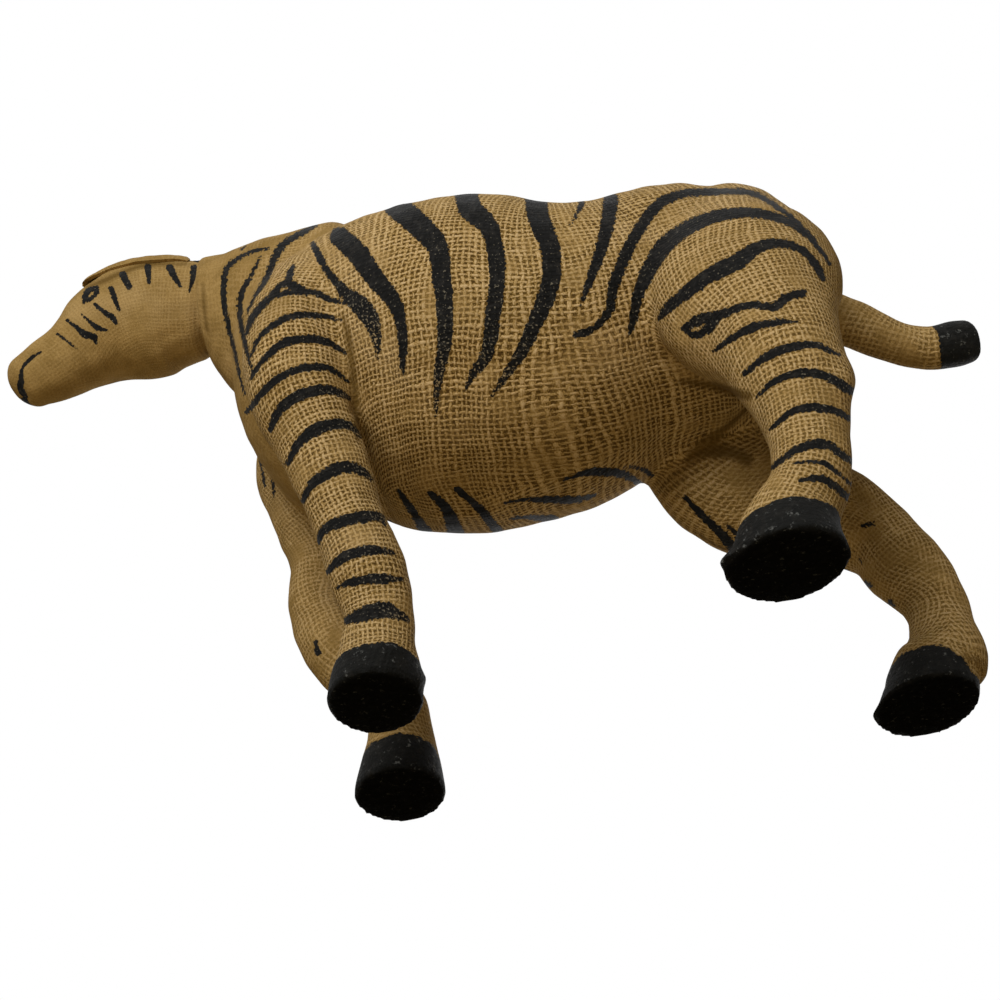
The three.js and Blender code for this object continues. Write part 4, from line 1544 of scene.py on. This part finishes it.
class ZebraSizes(bpy.types.PropertyGroup):
    """Sizes that a user would change"""

    step: length("Skin step", "Edge of the skins' faces", 0.0015, 0.0005, 0.004)
    cloth: length("Cloth thickness", "Wall of the cloth skins", 0.0012, 0.0004, 0.003)
    ear: length("Ear thickness", "Wall of the ears' doubled cloth", 0.0015, 0.0004, 0.003)
    weave_pitch: length("Weave pitch", "From thread to thread on the body", 0.00215, 0.0005, 0.006)
    head_pitch: length("Head weave pitch", "From thread to thread on the head", 0.0016, 0.0004, 0.006)


class ZebraColors(bpy.types.PropertyGroup):
    """Colours that a user would change"""

    # Painted highlight on the threads' backs and crossings, and the colour of the lighter stains
    straw_and_highlight: color("Straw", "Light backs of the jute threads", (0.58, 0.415, 0.215))
    thread: color("Thread", "The jute's main colour", (0.372, 0.240, 0.086))
    # Painted shade on the threads' sides and in the folds, and the colour of stains, felt and darker
    # paper
    shade_and_stain: color("Thread side", "Sides of the threads and stains", (0.150, 0.087, 0.018))
    # Painted shade in the holes between the threads and in the folds
    hole_shade: color("Hole", "Between the threads", (0.056, 0.028, 0.006))
    paint: color("Paint", "Black paint", (0.0062, 0.0060, 0.0056))
    coat: color("Thick paint", "Black paint of the hooves and the tail's end", (0.0105, 0.0108, 0.0098))
    paint_light: color("Thin paint", "Black paint where it is thin", (0.020, 0.0185, 0.0165))
    rubbed: color("Rubbed paint", "Where the brush ran dry or a coat is chipped", (0.150, 0.132, 0.096))
    chip: color("Chipped paint", "Light chips in a thick coat", (0.125, 0.128, 0.122))
    paper: color("Paper", "Pressed paper cores", (0.55, 0.52, 0.44))
    wire: color("Wire", "Drawn wire", (0.48, 0.49, 0.50))


# Pieces, each group with its own step


class ZEBRA_OT_torso(bpy.types.Operator):
    """Makes the trunk's cloth, with the stripes of both flanks and the haunches"""

    bl_idname = "zebra.torso"
    bl_label = "Trunk"

    def execute(self, context):
        cut_piece(whole_form(), "torso_skin")
        return {"FINISHED"}


class ZEBRA_OT_neck(bpy.types.Operator):
    """Makes the neck's cloth, which laps the back of the head"""

    bl_idname = "zebra.neck"
    bl_label = "Neck"

    def execute(self, context):
        cut_piece(whole_form(), "neck_skin")
        return {"FINISHED"}


class ZEBRA_OT_head(bpy.types.Operator):
    """Makes the head's smoother cloth, with its painted face"""

    bl_idname = "zebra.head"
    bl_label = "Head"

    def execute(self, context):
        cut_piece(whole_form(), "head_skin")
        return {"FINISHED"}


class ZEBRA_OT_ears(bpy.types.Operator):
    """Lays the two ears back flat on the head"""

    bl_idname = "zebra.ears"
    bl_label = "Ears"

    def execute(self, context):
        make_ear("left_ear_leaf", "left_ear", on_left=True)
        make_ear("right_ear_leaf", "right_ear", on_left=False)
        return {"FINISHED"}


class ZEBRA_OT_mane(bpy.types.Operator):
    """Stands the mane's folded strip along the crest"""

    bl_idname = "zebra.mane"
    bl_label = "Mane"

    def execute(self, context):
        make_mane()
        return {"FINISHED"}


class ZEBRA_OT_tail(bpy.types.Operator):
    """Makes the tail's cloth and its black end"""

    bl_idname = "zebra.tail"
    bl_label = "Tail"

    def execute(self, context):
        cut_piece(whole_form(), "tail_skin")
        cut_piece(whole_form(), "tail_tip_skin")
        return {"FINISHED"}


class ZEBRA_OT_legs(bpy.types.Operator):
    """Makes the cloth of the four legs"""

    bl_idname = "zebra.legs"
    bl_label = "Legs"

    def execute(self, context):
        for leg in LEGS:
            cut_piece(whole_form(), f"{leg}_leg_skin")
        return {"FINISHED"}


class ZEBRA_OT_hooves(bpy.types.Operator):
    """Makes the four black hooves and their flat soles"""

    bl_idname = "zebra.hooves"
    bl_label = "Hooves and soles"

    def execute(self, context):
        for leg in LEGS:
            cut_piece(whole_form(), f"{leg}_hoof_skin")
            cut_piece(whole_form(), f"{leg}_sole_skin")
        return {"FINISHED"}


class ZEBRA_OT_inside(bpy.types.Operator):
    """Finishes the paper cores and the wires"""

    bl_idname = "zebra.inside"
    bl_label = "Cores and wires"

    def execute(self, context):
        paper, wire = paper_material(), wire_material()
        for name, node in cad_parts.items():
            if name.endswith(("_core", "_wire")):
                node.data.materials.clear()
                node.data.materials.append(paper if name.endswith("_core") else wire)
        return {"FINISHED"}


# Stage


def stage_floor():
    """A pale floor that is seen from above only, so that the soles can be seen from below. It
    fades into the white background far from the figurine."""
    bpy.ops.object.select_all(action="DESELECT")
    bpy.ops.mesh.primitive_plane_add(size=FLOOR_SIDE, location=(0, 0, -FLOOR_GAP))
    floor = bpy.context.object
    floor.name = "floor"
    bpy.ops.object.transform_apply(location=True, rotation=False, scale=False)
    g = new_graph("floor")
    path = g.node("ShaderNodeLightPath")
    behind = g.node("ShaderNodeNewGeometry").outputs["Backfacing"]
    open_to = g.math("MAXIMUM", path.outputs["Is Shadow Ray"], behind)
    away = g.node("ShaderNodeVectorMath", {0: g.place()}, operation="LENGTH").outputs["Value"]
    seen = g.math("MAXIMUM", path.outputs["Is Camera Ray"], path.outputs["Is Glossy Ray"])
    tone = g.mix(seen, rgba(FLOOR_BOUNCE), rgba(FLOOR_COLOR))
    pale = g.node("ShaderNodeBsdfDiffuse", {"Color": tone})
    white = g.node("ShaderNodeEmission", {"Color": rgba(WHITE), "Strength": 1.0})
    faded = g.times(seen, g.band(away, *FLOOR_FADE))
    lit = g.node("ShaderNodeMixShader", {0: faded, 1: pale.outputs[0], 2: white.outputs[0]})
    clear = g.node("ShaderNodeBsdfTransparent")
    both = g.node("ShaderNodeMixShader", {0: open_to, 1: lit.outputs[0], 2: clear.outputs[0]})
    floor.data.materials.append(g.surface("ShaderNodeOutputMaterial", both.outputs[0]))


def stage_world():
    """Plain soft light from all round, and a white background for what is seen directly."""
    g = Graph(bpy.data.worlds.new("studio"))
    path = g.node("ShaderNodeLightPath")
    seen = path.outputs["Is Camera Ray"]
    for kind in ("Is Transmission Ray", "Is Glossy Ray"):
        seen = g.math("MAXIMUM", seen, path.outputs[kind])
    strength = g.node("ShaderNodeMapRange", {"Value": seen, "To Min": WORLD_LIGHT}).outputs["Result"]
    tint = g.mix(seen, rgba(WORLD_TINT), rgba(WHITE))
    background = g.node("ShaderNodeBackground", {"Color": tint, "Strength": strength})
    bpy.context.scene.world = g.surface("ShaderNodeOutputWorld", background.outputs[0])


def stage_lamps():
    for name, (place, size, power, tint) in LAMPS.items():
        data = bpy.data.lights.new(name, "AREA")
        data.shape = "DISK"
        data.size = size
        data.energy = power
        data.color = tint
        lamp = bpy.data.objects.new(name, data)
        lamp.location = place
        aim = Vector(LAMP_TARGET) - Vector(place)
        lamp.rotation_euler = aim.to_track_quat("-Z", "Y").to_euler()
        lamp.visible_camera = False
        bpy.context.scene.collection.objects.link(lamp)


def stage_camera():
    """The photograph's view."""
    place, right, up, forward = camera_axes()
    data = bpy.data.cameras.new("camera")
    data.sensor_width = SENSOR_WIDTH
    data.lens = FOCAL_PIXELS / IMAGE_SIDE * SENSOR_WIDTH
    data.clip_start = CLIP_START
    camera = bpy.data.objects.new("camera", data)
    camera.matrix_world = Matrix((
        (right[0], up[0], -forward[0], (place[0] + SHIFT[0]) * MM),
        (right[1], up[1], -forward[1], (place[1] + SHIFT[1]) * MM),
        (right[2], up[2], -forward[2], place[2] * MM),
        (0, 0, 0, 1),
    ))
    bpy.context.scene.collection.objects.link(camera)
    bpy.context.scene.camera = camera


class ZEBRA_OT_stage(bpy.types.Operator):
    """Makes the floor, the lamps, the background and the camera"""

    bl_idname = "zebra.stage"
    bl_label = "Stage"

    def execute(self, context):
        stage_floor()
        stage_world()
        stage_lamps()
        stage_camera()
        context.scene.view_settings.view_transform = "Standard"
        return {"FINISHED"}


class ZEBRA_PT_panel(bpy.types.Panel):
    """Lists the sizes, the colours and the steps"""

    bl_idname = "ZEBRA_PT_panel"
    bl_label = "Zebra figurine"
    bl_space_type = "VIEW_3D"
    bl_region_type = "UI"
    bl_category = "Zebra"

    def draw(self, context):
        for group in (context.scene.zebra_sizes, context.scene.zebra_colors):
            for name in group.__annotations__:
                self.layout.prop(group, name)
        for step in STEPS:
            self.layout.operator(step.bl_idname)


STEPS = (
    ZEBRA_OT_torso,
    ZEBRA_OT_neck,
    ZEBRA_OT_head,
    ZEBRA_OT_ears,
    ZEBRA_OT_mane,
    ZEBRA_OT_tail,
    ZEBRA_OT_legs,
    ZEBRA_OT_hooves,
    ZEBRA_OT_inside,
    ZEBRA_OT_stage,
)
CLASSES = (ZebraSizes, ZebraColors, *STEPS, ZEBRA_PT_panel)


def register():
    for cls in CLASSES:
        bpy.utils.register_class(cls)
    bpy.types.Scene.zebra_sizes = bpy.props.PointerProperty(type=ZebraSizes)
    bpy.types.Scene.zebra_colors = bpy.props.PointerProperty(type=ZebraColors)


def unregister():
    del bpy.types.Scene.zebra_colors
    del bpy.types.Scene.zebra_sizes
    for cls in reversed(CLASSES):
        bpy.utils.unregister_class(cls)


def main():
    register()
    for step in STEPS:
        group, name = step.bl_idname.split(".")
        getattr(getattr(bpy.ops, group), name)()


if __name__ == "__main__":
    main()
